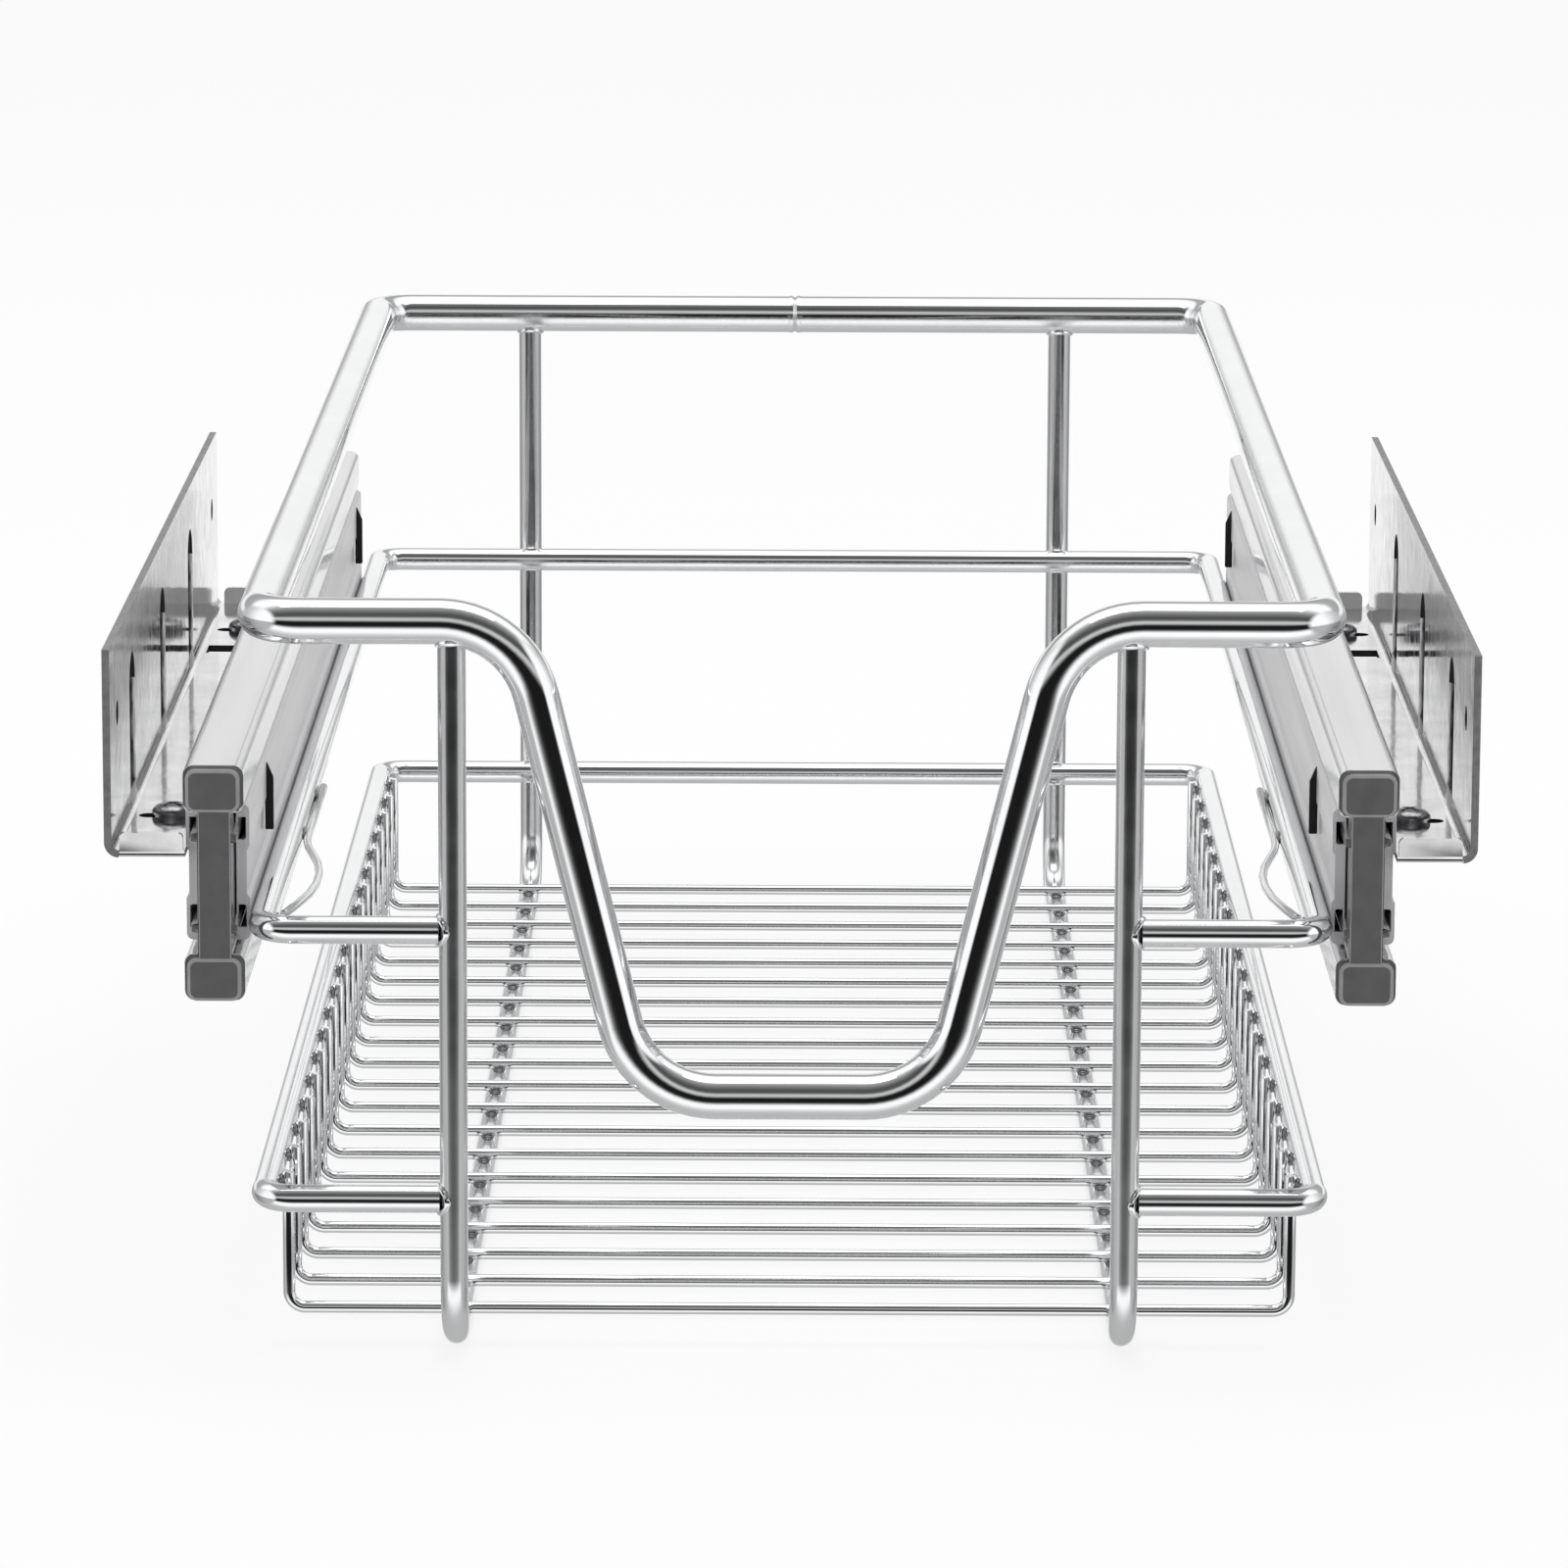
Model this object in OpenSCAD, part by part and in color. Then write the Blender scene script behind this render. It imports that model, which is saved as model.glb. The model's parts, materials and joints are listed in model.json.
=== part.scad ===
// Pull-out wire basket for a kitchen base cabinet.
// A basket of bent wire hangs between two full-extension ball runners. Each runner has
// three members: a cabinet rail, a hollow beam of I section and a basket rail, which run
// on two rows of balls a side. A sheet bracket screws each runner to a cabinet wall.
// +X is to the right, -Y is the cabinet's front and +Z is up. The origin lies on the
// floor under the middle of the basket. The basket is shown pushed in.

/* [Cabinet] */
// Clear width between the two side walls of the cabinet
cabinet_w = 268; // [250:1:300]
// Distance from a side wall to the middle plane of its runner
runner_inset = 21.98; // [21:0.01:30]

/* [Basket frame] */
// Depth of the handle loop, between wire centres
loop_d = 432; // [415:1:480]
// Height of the handle wire's centre
handle_z = 147.5; // [140:0.5:165]
// Height of the middle loop's centre
mid_z = 86.5; // [78:0.5:92]
// Height of the rim loop's centre
rim_z = 32.6; // [24:0.2:40]
// Bend radius of the handle loop's four corners
handle_corner_r = 8.5; // [6:0.5:14]
// Bend radius of the corners of the middle and rim loops
frame_corner_r = 6; // [4:0.5:12]
// Bend radius of the support wires at the floor
support_bend_r = 14; // [8:0.5:20]

/* [Wires] */
// Diameter of the handle wire
handle_wire_d = 9; // [7:0.1:10]
// Diameter of the middle, rim and support wires
frame_wire_d = 5.5; // [4.5:0.1:6.5]
// Diameter of the grid wires
grid_wire_d = 2.4; // [2:0.1:3]
// Diameter of the spring wire of the clips
clip_wire_d = 1.7; // [1.2:0.1:2]

/* [Grip dip] */
// Depth of the dip in the handle's front run
dip_h = 94; // [70:1:98]
// Straight length across the bottom of the dip
dip_floor_w = 29; // [20:1:40]
// Slope of the dip's legs from the horizontal, in degrees
dip_angle = 76; // [68:1:82]
// Bend radius of the dip
dip_bend_r = 19.2; // [14:0.2:24]
// How far inside the dip's shoulders the support wires stand
support_inset = 2.3; // [0:0.1:4]

/* [Grid] */
// Number of cross wires in the floor
grid_count = 20; // [12:1:20]
// First cross wire's distance behind the front
grid_first = 14.5; // [14:0.5:24]
// Last cross wire's distance before the rear
grid_last = 24.2; // [18:0.2:34]
// Bend radius of the cross wires' corners
grid_bend_r = 3.2; // [2.5:0.1:8]
// How far the cross wires' cut ends stand above the rim's centre
grid_end_h = 1.8; // [0:0.1:4]

/* [Runner] */
// Length of the cabinet and basket rails
rail_l = 384; // [350:1:400]
// Distance of the rails' front end behind the handle
rail_front = 11; // [9:0.5:20]
// Distance of the beam's front end behind the handle
beam_front = 0.5; // [0:0.5:8]
// Height of the beam
beam_h = 46.8; // [44:0.2:50]
// Width of the beam's head and foot
beam_block_w = 11.8; // [10.8:0.1:12.2]
// Height of the beam's head and of its foot
beam_block_h = 9.4; // [8:0.1:10]
// Corner radius of the beam's head and foot
beam_corner_r = 2; // [1.6:0.1:3]
// Width of the beam's web
beam_web_w = 6.6; // [6:0.1:7.2]
// Sheet thickness of the beam
beam_sheet = 1.2; // [1:0.1:1.4]
// Distance of each ball row from the runner's middle
ball_row = 9; // [8.5:0.1:9.5]
// Wall left behind the rail's ball groove
rail_wall = 0.75; // [0.6:0.05:1]
// Thickness of the plate of the beam's front cap
cap_plate = 2.5; // [1.5:0.1:4]
// Length of the cap's plugs inside the beam
cap_plug_l = 12; // [8:0.5:20]

/* [Ball cages] */
// Diameter of a ball
ball_d = 2.6; // [2.4:0.1:2.8]
// Distance between balls along a row
ball_pitch = 16; // [12:1:24]
// Length of a ball cage
cage_l = 146; // [110:1:160]
// Sheet thickness of a ball cage
cage_sheet = 0.5; // [0.4:0.05:0.6]

/* [Brackets] */
// Length of a bracket
bracket_l = 277; // [260:1:300]
// Distance of a bracket's front end behind the handle
bracket_front = 8; // [6:0.5:16]
// Height of a bracket's flange above its shelf
flange_h = 39.7; // [34:0.1:48]
// Sheet thickness of a bracket
bracket_sheet = 1.5; // [1.2:0.1:2]
// Height of the turned-up lip at each end of the shelf
lip_h = 3.6; // [2.6:0.2:9]
// Number of upright slots in the flange
slot_count = 3; // [1:1:3]
// Distance between slots
slot_pitch = 74; // [60:1:80]
// First slot's distance behind the bracket's front end
slot_first = 50; // [44:1:60]
// Height of a flange slot, which starts at the bend and has a round top
slot_h = 30; // [20:0.5:32]
// Width of a flange slot
slot_w = 13; // [8:0.5:16]
// Diameter of the flange's round screw holes
screw_hole_d = 5; // [4:0.1:6]
// Distance of the round screw holes from the bracket's ends
screw_hole_inset = 16; // [12:1:24]
// Distance of the front rail screw from the bracket's front end
front_screw = 34; // [30:1:60]
// Distance of the rear rail screw from the bracket's rear end
rear_screw = 35; // [20:1:50]
// Length of the shelf slot in which a rail screw can be shifted
shift_slot_l = 11; // [7:0.5:12]

/* [Hidden] */
// Clearance of a ball in its groove
ball_gap = 0.05;
// Depth of the ball grooves in the beam's web
groove_depth = 0.5;
// Space between the web and a rail's face, in which a cage runs
cage_space = 1.1;
// Clearance between a rail's edge and the beam's head or foot
rail_end_gap = 0.4;
// Gap between pieces that are welded or seated face to face
seat_gap = 0.02;
// Gap between the rear end of the beam and the stop tab behind it
stop_gap = 0.8;
// Thickness of the tabs and lips bent from the rails
tab_sheet = 1.2;
// Distance of the basket rail's lugs from its front and rear ends
front_lug = 48;
rear_lug = 20;
// Height of a flange screw hole above the middle of the slots
screw_hole_rise = 9;
// Distance from a rail's back to its screw, and from the screw to the foot's edge
screw_out = 5;
// How much wider a wire is in its bends than in its straight runs
bend_swell = 0.02;
// How far a straight run reaches into a bend
run_overlap = 0.05;

$fn = 48;

front_y = -loop_d / 2;
rear_y = loop_d / 2;
frame_r = frame_wire_d / 2;
handle_r = handle_wire_d / 2;
grid_r = grid_wire_d / 2;
clip_r = clip_wire_d / 2;

// The dip's four corners, and where its shoulders turn down
dip_tangent = dip_bend_r * tan(dip_angle / 2);
dip_bottom_x = dip_floor_w / 2 + dip_tangent;
dip_top_x = dip_bottom_x + dip_h / tan(dip_angle);
shoulder_x = dip_top_x + dip_tangent;
support_x = shoulder_x - support_inset;

// The middle and rim loops end at the front supports and pass before the rear ones
loop_end_x = support_x + frame_r + seat_gap;
loop_rear_y = rear_y - frame_wire_d - seat_gap;

grid_floor_z = frame_wire_d + grid_r + seat_gap;
grid_pitch = (loop_d - grid_first - grid_last) / (grid_count - 1);

// The runner's section, measured from its middle plane outwards
ball_r = ball_d / 2;
groove_r = ball_r + ball_gap;
ball_x = beam_web_w / 2 - groove_depth + groove_r;
rail_face_x = beam_web_w / 2 + cage_space;
rail_x = ball_x + groove_r + rail_wall;
rail_step_x = rail_x - 0.65;
rail_step_h = 8.4;
rail_h = beam_h - 2 * beam_block_h - 2 * rail_end_gap;
rail_lip_x = beam_web_w / 2 + 0.3;
rail_lip_h = 1.1;
rail_hollow_x = rail_x - 1.1;
rail_hollow_h = 1.9;
cage_h = 2 * ball_row + 3.2;
cage_x = (beam_web_w / 2 + rail_face_x) / 2;
ball_rows = [-ball_row, ball_row];
balls_per_row = floor((cage_l - ball_pitch) / ball_pitch) + 1;

// Where the runner stands, and the loops' width between wire centres, which it leaves free
runner_x = cabinet_w / 2 - runner_inset;
loop_w = 2 * (runner_x - rail_x - frame_r - seat_gap);
grid_x = loop_w / 2 - frame_r - grid_r - seat_gap;
runner_z = mid_z + ball_row;
rail_y = front_y + rail_front;
beam_y = front_y + beam_front;
beam_l = rail_l + rail_front - beam_front - tab_sheet - stop_gap;
cage_y = rail_y + (rail_l - cage_l) / 2;
recess_h = beam_h - 2 * beam_block_h;
block_z = (beam_h - beam_block_h) / 2;

// Where the bracket stands
bracket_y = front_y + bracket_front;
shelf_top = runner_z + rail_step_h / 2 + 0.7;
shelf_bottom = shelf_top - bracket_sheet;
flange_x = cabinet_w / 2;
shelf_x = runner_x + rail_x + seat_gap;
slot_bottom = shelf_top + 0.3;
screw_hole_z = slot_bottom + slot_h / 2 + screw_hole_rise;

// The shelf lies on the rail's feet, and a screw holds each one
foot_ends = [front_screw, bracket_l - rear_screw];
foot_l = 16;
foot_top = shelf_bottom - seat_gap;
screw_r = 2;
screw_x = runner_x + rail_x + screw_out;
screw_head_r = 4.2;
screw_head_h = 2.6;
screw_rim_h = 1.2;
foot_start_x = runner_x + rail_step_x - 0.4;
foot_x = screw_x + screw_out;
shift_slot_x = shelf_x + 0.8 + shift_slot_l / 2;

// The lugs on the basket rail's face
lug_ends = [front_lug, rail_l - rear_lug];
lug_h = 14.5;
lug_out = 1.4;

clip_start = 14;
clip_bow_l = 66;
clip_bow_out = 5.4;
clip_tail_l = 60;
clip_bow_r = 50;

function unit(v) = v / norm(v);
function turn_at(a, b, c) = acos(unit(b - a) * unit(c - b));
function tangent_at(a, b, c, r) = r * tan(turn_at(a, b, c) / 2);

// Matrix that moves the axes to origin and turns X to x and Y to y
function placed(origin, x, y) = let(z = cross(x, y))
    [for (i = [0 : 2]) [x[i], y[i], z[i], origin[i]], [0, 0, 0, 1]];

function reversed(list) = [for (i = [len(list) - 1 : -1 : 0]) list[i]];
function two_digits(i) = str(i < 10 ? "0" : "", i);

GRID_NODES = [for (i = [1 : grid_count]) str("grid_wire_", two_digits(i))];
SIDES = ["left", "right"];
SIDE_PARTS = [
    "support_wire", "wire_clip", "basket_rail", "inner_cage", "inner_balls", "beam", "beam_cap",
    "outer_cage", "outer_balls", "cabinet_rail", "bracket", "rail_screws"
];

// ---- Helpers -------------------------------------------------------------------

// A straight wire from a to b
module wire_run(a, b, d) {
    v = unit(b - a);
    x = unit(cross(v, abs(v.z) < 0.9 ? [0, 0, 1] : [1, 0, 0]));
    multmatrix(placed(a, x, cross(v, x))) cylinder(h = norm(b - a), d = d);
}

// A bend of radius r round the corner b of the path a, b, c
module wire_bend(a, b, c, r, d) {
    u = unit(b - a);
    v = unit(c - b);
    inward = unit(v - u * (u * v));
    centre = b - u * tangent_at(a, b, c, r) + inward * r;
    multmatrix(placed(centre, -inward, u))
        rotate_extrude(angle = turn_at(a, b, c)) translate([r, 0]) circle(d = d + bend_swell);
}

// An open wire bent along points, with one radius for each inner corner. The straight
// runs reach a little way into the bends
module bent_wire(points, radii, d) {
    n = len(points);
    trim = [
        for (i = [0 : n - 1])
            i == 0 || i == n - 1
                ? 0
                : tangent_at(points[i - 1], points[i], points[i + 1], radii[i - 1]) - run_overlap
    ];
    for (i = [0 : n - 2]) {
        u = unit(points[i + 1] - points[i]);
        wire_run(points[i] + u * trim[i], points[i + 1] - u * trim[i + 1], d);
    }
    for (i = [1 : n - 2]) wire_bend(points[i - 1], points[i], points[i + 1], radii[i - 1], d);
}

// Extrudes an XZ section along +Y from y
module along_y(y, length)
    translate([0, y + length, 0]) rotate([90, 0, 0]) linear_extrude(length) children();

// Mirrors the right-hand piece for the left-hand side
module on_side(side) {
    if (side == "left") mirror([1, 0, 0]) children();
    else children();
}

// Moves the runner's own section to its place
module at_runner() translate([runner_x, 0, runner_z]) children();

module rounded_rect(size, r) {
    square([size.x - 2 * r, size.y], center = true);
    square([size.x, size.y - 2 * r], center = true);
    for (x = [-1, 1], y = [-1, 1]) translate([x * (size.x / 2 - r), y * (size.y / 2 - r)]) circle(r);
}

// A slot with round ends, along X
module obround(length, width) {
    square([length - width, width], center = true);
    for (x = [-1, 1]) translate([x * (length - width) / 2, 0]) circle(d = width);
}

// ---- Basket --------------------------------------------------------------------

// The handle is one wire, which starts and ends at the middle of its rear run
module handle_wire(d) {
    w = loop_w / 2;
    half = [
        [0, rear_y, handle_z], [w, rear_y, handle_z], [w, front_y, handle_z],
        [dip_top_x, front_y, handle_z], [dip_bottom_x, front_y, handle_z - dip_h]
    ];
    radii = [handle_corner_r, handle_corner_r, dip_bend_r, dip_bend_r];
    other = [for (p = reversed(half)) [-p.x, p.y, p.z]];
    bent_wire(concat(half, other), concat(radii, reversed(radii)), d);
}

module handle_loop() color("gainsboro") handle_wire(handle_wire_d);

// A loop that is open at the front, between the two supports
module frame_loop(z) color("gainsboro") {
    w = loop_w / 2;
    points = [
        [-loop_end_x, front_y, z], [-w, front_y, z], [-w, loop_rear_y, z],
        [w, loop_rear_y, z], [w, front_y, z], [loop_end_x, front_y, z]
    ];
    bent_wire(points, [for (i = [1 : 4]) frame_corner_r], frame_wire_d);
}

module mid_loop() frame_loop(mid_z);

module rim_loop() frame_loop(rim_z);

// A U-shaped wire whose ends are coped to the handle wire above them
module support_wire() color("gainsboro") {
    x = support_x;
    points = [
        [x, front_y, handle_z], [x, front_y, frame_r], [x, rear_y, frame_r], [x, rear_y, handle_z]
    ];
    difference() {
        bent_wire(points, [support_bend_r, support_bend_r], frame_wire_d);
        handle_wire(handle_wire_d + 2 * seat_gap);
    }
}

// One cross wire of the floor, number i from the front
module grid_wire(i) color("gainsboro") {
    top = rim_z + grid_end_h;
    y = front_y + grid_first + (i - 1) * grid_pitch;
    points = [
        [-grid_x, y, top], [-grid_x, y, grid_floor_z], [grid_x, y, grid_floor_z], [grid_x, y, top]
    ];
    bent_wire(points, [grid_bend_r, grid_bend_r], grid_wire_d);
}

// A bowed spring wire that lies along the inner side of the middle loop
module wire_clip() color("silver") {
    x = loop_w / 2 - frame_r - clip_r - seat_gap;
    y = front_y + clip_start;
    points = [
        [x, y, mid_z], [x - clip_bow_out, y + clip_bow_l / 2, mid_z],
        [x, y + clip_bow_l, mid_z], [x, y + clip_bow_l + clip_tail_l, mid_z]
    ];
    bent_wire(points, [clip_bow_r, clip_bow_r], clip_wire_d);
}

// ---- Runner --------------------------------------------------------------------

// The two grooves in which the balls run, on the +X side
module ball_grooves() for (z = ball_rows) translate([ball_x, z]) circle(groove_r);

// Dumb-bell outline of the beam, smaller all round by inset
module beam_outline(inset) {
    for (s = [-1, 1]) translate([0, s * block_z])
        rounded_rect([beam_block_w - 2 * inset, beam_block_h - 2 * inset], beam_corner_r - inset);
    square([beam_web_w - 2 * inset, 2 * block_z], center = true);
}

module beam() color("silver") at_runner() along_y(beam_y, beam_l) difference() {
    beam_outline(0);
    beam_outline(beam_sheet);
    ball_grooves();
    mirror([1, 0]) ball_grooves();
}

// Moulded cap: a plate before the beam's end, with a plug in its head and its foot
module beam_cap() color("dimgray") at_runner() {
    plug_inset = beam_sheet + 0.1;
    along_y(beam_y - seat_gap - cap_plate, cap_plate) {
        for (s = [-1, 1]) translate([0, s * block_z])
            rounded_rect([beam_block_w - 1.2, beam_block_h - 0.8], beam_corner_r);
        square([beam_web_w - 0.2, 2 * block_z], center = true);
    }
    for (s = [-1, 1]) along_y(beam_y - cap_plate, cap_plug_l + cap_plate)
        translate([0, s * block_z])
            square([beam_block_w - 2 * plug_inset - 1, beam_block_h - 2 * plug_inset - 1], center = true);
}

// Section of a rail on the +X side of the beam: a lipped channel whose face holds the
// ball grooves, with a waist between its two lobes
module rail_section() difference() {
    polygon([
        for (s = [1, -1]) each [
            for (p = s > 0 ? upper_rail_points() : reversed(upper_rail_points())) [p.x, s * p.y]
        ]
    ]);
    ball_grooves();
}

// The rail's outline from its waist up its back, round the lip and down its face
function upper_rail_points() = [
    [rail_step_x, rail_step_h / 2],
    [rail_x, rail_step_h / 2 + 1],
    [rail_x, rail_h / 2 - 0.8],
    [rail_x - 0.8, rail_h / 2],
    [rail_lip_x, rail_h / 2],
    [rail_lip_x, rail_h / 2 - rail_lip_h],
    [rail_hollow_x, rail_h / 2 - rail_lip_h],
    [rail_hollow_x, ball_row + rail_hollow_h + 0.7],
    [rail_face_x, ball_row + rail_hollow_h]
];

// Tab bent across the rear end of the cabinet rail, on which the beam stops
module stop_tab() along_y(rail_y + rail_l - tab_sheet, tab_sheet)
    translate([-1.5, -rail_step_h / 2]) square([rail_step_x + 1.5, rail_step_h]);

// Foot bent out of the cabinet rail's waist, with a tapped hole for its screw
module rail_foot() difference() {
    translate([foot_start_x, -foot_l / 2, foot_top - tab_sheet])
        cube([foot_x - foot_start_x, foot_l, tab_sheet]);
    translate([screw_x, 0, foot_top - 2 * tab_sheet])
        cylinder(h = 3 * tab_sheet, r = screw_r + seat_gap);
}

module cabinet_rail() color("silver") {
    at_runner() {
        along_y(rail_y, rail_l) rail_section();
        stop_tab();
    }
    for (y = foot_ends) translate([0, bracket_y + y, 0]) rail_foot();
}

// Pointed lug that stands out of the basket rail's back
module rail_lug() along_y(-tab_sheet / 2, tab_sheet)
    polygon([
        [rail_x - 0.3, -lug_h / 2], [rail_x + lug_out, -lug_h / 2], [rail_x + lug_out, lug_h / 4],
        [rail_x - 0.3, lug_h / 2]
    ]);

module basket_rail() color("silver") at_runner() mirror([1, 0, 0]) {
    along_y(rail_y, rail_l) rail_section();
    for (y = lug_ends) translate([0, rail_y + y, 4.6]) rail_lug();
}

// Where a cage holds its balls, on the +X side of the beam
module at_balls() {
    first = cage_y + (cage_l - (balls_per_row - 1) * ball_pitch) / 2;
    for (z = ball_rows, i = [0 : balls_per_row - 1])
        translate([ball_x, first + i * ball_pitch, z]) children();
}

// Strip with a pocket for each ball and rounded ends
module ball_cage() color("goldenrod") difference() {
    translate([cage_x - cage_sheet / 2, cage_y + cage_l / 2, 0]) rotate([90, 0, 90])
        linear_extrude(cage_sheet) rounded_rect([cage_l, cage_h], 3);
    at_balls() rotate([0, 90, 0]) cylinder(h = 4, r = ball_r + 0.1, center = true);
}

module ball_set() color("white") at_balls() sphere(ball_r);

module outer_cage() at_runner() ball_cage();

module outer_balls() at_runner() ball_set();

module inner_cage() at_runner() mirror([1, 0, 0]) ball_cage();

module inner_balls() at_runner() mirror([1, 0, 0]) ball_set();

// ---- Brackets ------------------------------------------------------------------

// L section: the flange against the cabinet wall and the shelf towards the rail
module bracket_section() {
    bend_r = 2 * bracket_sheet;
    corner = [flange_x - bend_r, shelf_bottom + bend_r];
    translate([flange_x - bracket_sheet, corner.y])
        square([bracket_sheet, shelf_top + flange_h - corner.y]);
    translate([shelf_x, shelf_bottom]) square([corner.x - shelf_x, bracket_sheet]);
    translate(corner) intersection() {
        difference() {
            circle(bend_r);
            circle(bend_r - bracket_sheet);
        }
        translate([0, -bend_r]) square(bend_r);
    }
}

// Lip turned up at an end of the shelf
module end_lip(y) {
    width = flange_x - 2 * bracket_sheet - runner_x - rail_x - 0.3;
    height = lip_h + bracket_sheet;
    along_y(y, bracket_sheet)
        translate([runner_x + rail_x + 0.3 + width / 2, shelf_bottom + height / 2])
            rounded_rect([width, height], 1.2);
}

// Upright slot that starts square at the bend and ends in a half circle
module flange_slot() {
    translate([-slot_w / 2, 0]) square([slot_w, slot_h - slot_w / 2]);
    translate([0, slot_h - slot_w / 2]) circle(d = slot_w);
}

module bracket() color("whitesmoke") difference() {
    union() {
        along_y(bracket_y, bracket_l) bracket_section();
        end_lip(bracket_y);
        end_lip(bracket_y + bracket_l - bracket_sheet);
    }
    for (i = [0 : slot_count - 1])
        translate([flange_x, bracket_y + slot_first + i * slot_pitch, slot_bottom])
            rotate([90, 0, 90]) linear_extrude(4 * bracket_sheet, center = true) flange_slot();
    for (y = [screw_hole_inset, bracket_l - screw_hole_inset])
        translate([flange_x, bracket_y + y, screw_hole_z]) rotate([0, 90, 0])
            cylinder(h = 4 * bracket_sheet, d = screw_hole_d, center = true);
    for (y = foot_ends) translate([shift_slot_x, bracket_y + y, shelf_top])
        linear_extrude(4 * bracket_sheet, center = true) obround(shift_slot_l, 2 * screw_r + 0.3);
}

// Pan-head screw with a cross recess, with z = 0 under its head
module pan_screw() {
    shank = bracket_sheet + tab_sheet + 2;
    translate([0, 0, -shank]) cylinder(h = shank + 0.5, r = screw_r);
    difference() {
        union() {
            cylinder(h = screw_rim_h, r = screw_head_r);
            translate([0, 0, screw_rim_h])
                cylinder(h = screw_head_h - screw_rim_h, r1 = screw_head_r, r2 = screw_head_r - 1.4);
        }
        for (a = [0, 90]) rotate([0, 0, a])
            translate([0, 0, screw_head_h]) cube([4, 0.9, 2.2], center = true);
    }
}

module rail_screws() color("dimgray")
    for (y = foot_ends) translate([screw_x, bracket_y + y, shelf_top + seat_gap]) pan_screw();

// ---- Nodes ---------------------------------------------------------------------

handle_loop();
mid_loop();
rim_loop();
for (i = [1 : grid_count]) grid_wire(i);
for (side = SIDES) on_side(side) {
    support_wire();
    wire_clip();
    basket_rail();
    inner_cage();
    inner_balls();
    beam();
    beam_cap();
    outer_cage();
    outer_balls();
    cabinet_rail();
    bracket();
    rail_screws();
}
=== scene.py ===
"""Dresses the pull-out cabinet basket: a basket of chromed wire between two ball runners.

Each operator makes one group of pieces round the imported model. Lengths are in metres, +X is
to the right, -Y is the cabinet's front and +Z is up.
"""

import json
import math

import bmesh
import bpy
import numpy as np
from bpy.props import FloatProperty, FloatVectorProperty, PointerProperty
from mathutils import Matrix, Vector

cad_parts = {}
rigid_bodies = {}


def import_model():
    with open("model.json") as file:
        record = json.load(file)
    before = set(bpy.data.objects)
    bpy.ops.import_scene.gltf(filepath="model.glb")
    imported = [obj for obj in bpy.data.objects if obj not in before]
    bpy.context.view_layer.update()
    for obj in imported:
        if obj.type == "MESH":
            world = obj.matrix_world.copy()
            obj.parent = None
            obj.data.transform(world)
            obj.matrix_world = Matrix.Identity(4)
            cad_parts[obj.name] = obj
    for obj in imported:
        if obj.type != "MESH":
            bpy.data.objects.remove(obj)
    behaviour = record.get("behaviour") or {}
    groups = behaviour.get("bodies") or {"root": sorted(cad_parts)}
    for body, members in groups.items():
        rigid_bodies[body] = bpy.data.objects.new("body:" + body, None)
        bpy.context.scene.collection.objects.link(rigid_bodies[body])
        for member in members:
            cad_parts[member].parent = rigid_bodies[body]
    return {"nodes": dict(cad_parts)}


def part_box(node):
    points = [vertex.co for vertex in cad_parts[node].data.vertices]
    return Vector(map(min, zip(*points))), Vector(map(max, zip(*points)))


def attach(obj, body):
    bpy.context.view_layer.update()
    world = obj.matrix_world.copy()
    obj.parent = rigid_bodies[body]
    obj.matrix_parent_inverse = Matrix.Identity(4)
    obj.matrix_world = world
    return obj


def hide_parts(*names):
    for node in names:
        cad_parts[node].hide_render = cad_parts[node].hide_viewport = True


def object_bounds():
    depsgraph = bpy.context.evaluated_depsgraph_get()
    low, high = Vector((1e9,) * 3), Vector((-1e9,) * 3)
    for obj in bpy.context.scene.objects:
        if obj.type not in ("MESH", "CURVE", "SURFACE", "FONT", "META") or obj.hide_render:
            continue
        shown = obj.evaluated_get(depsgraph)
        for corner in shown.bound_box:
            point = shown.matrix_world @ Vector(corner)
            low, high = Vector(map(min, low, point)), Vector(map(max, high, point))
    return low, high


bl_info = {
    "name": "Pull-out cabinet basket",
    "version": (1, 0, 0),
    "blender": (4, 5, 0),
    "location": "View3D > Sidebar > Basket",
    "description": "Makes the wires, runners, brackets and finishes of a pull-out basket",
    "category": "Object",
}

for old in list(bpy.data.objects):
    bpy.data.objects.remove(old)

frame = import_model()
CAD_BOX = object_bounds()
SIDES = {"left": -1, "right": 1}
# Levels that polished metal sees in the studio, by degrees above the front horizon: a bright
# table, a dark camera side, a strip over it, a dim ceiling, a wide soft box and the backdrop
STUDIO_BANDS = (
    (-90, 0.475), (-75, 0.51), (-64, 0.65), (-47, 1), (-34, 1), (-27, 0.65), (-21, 0.18),
    (-16, 0.03), (-12, 0.01), (3, 0.01), (8, 0.16), (14, 0.5), (22, 0.55), (27, 0.28), (33, 0.09),
    (45, 0.075), (60, 0.17), (75, 0.32), (88, 0.6), (98, 1), (128, 1), (141, 0.4), (160, 0.36),
    (165, 0.86), (174, 0.86), (180, 0.4), (200, 0.4), (230, 0.45), (268, 0.475),
)
# The camera fitted to the basket: turns in radians, place in metres, lens and film in mm
CAMERA_PITCH, CAMERA_YAW, CAMERA_ROLL = 0.199, -0.002, -0.004
CAMERA_PLACE = (0.001545, -1.6729, 0.4096)
CAMERA_LENS, CAMERA_FILM = 176.22, 36
MM = 0.001
TURN = 2 * math.pi


def node_box(node):
    """Lowest and highest corner of a node as arrays."""
    low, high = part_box(node)
    return np.array(low), np.array(high)


# ---- Settings --------------------------------------------------------------------


def length(name, description, default):
    """A length that a user can set, in metres."""
    return FloatProperty(
        name=name, description=description, default=default, min=0, precision=5, unit="LENGTH"
    )


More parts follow.
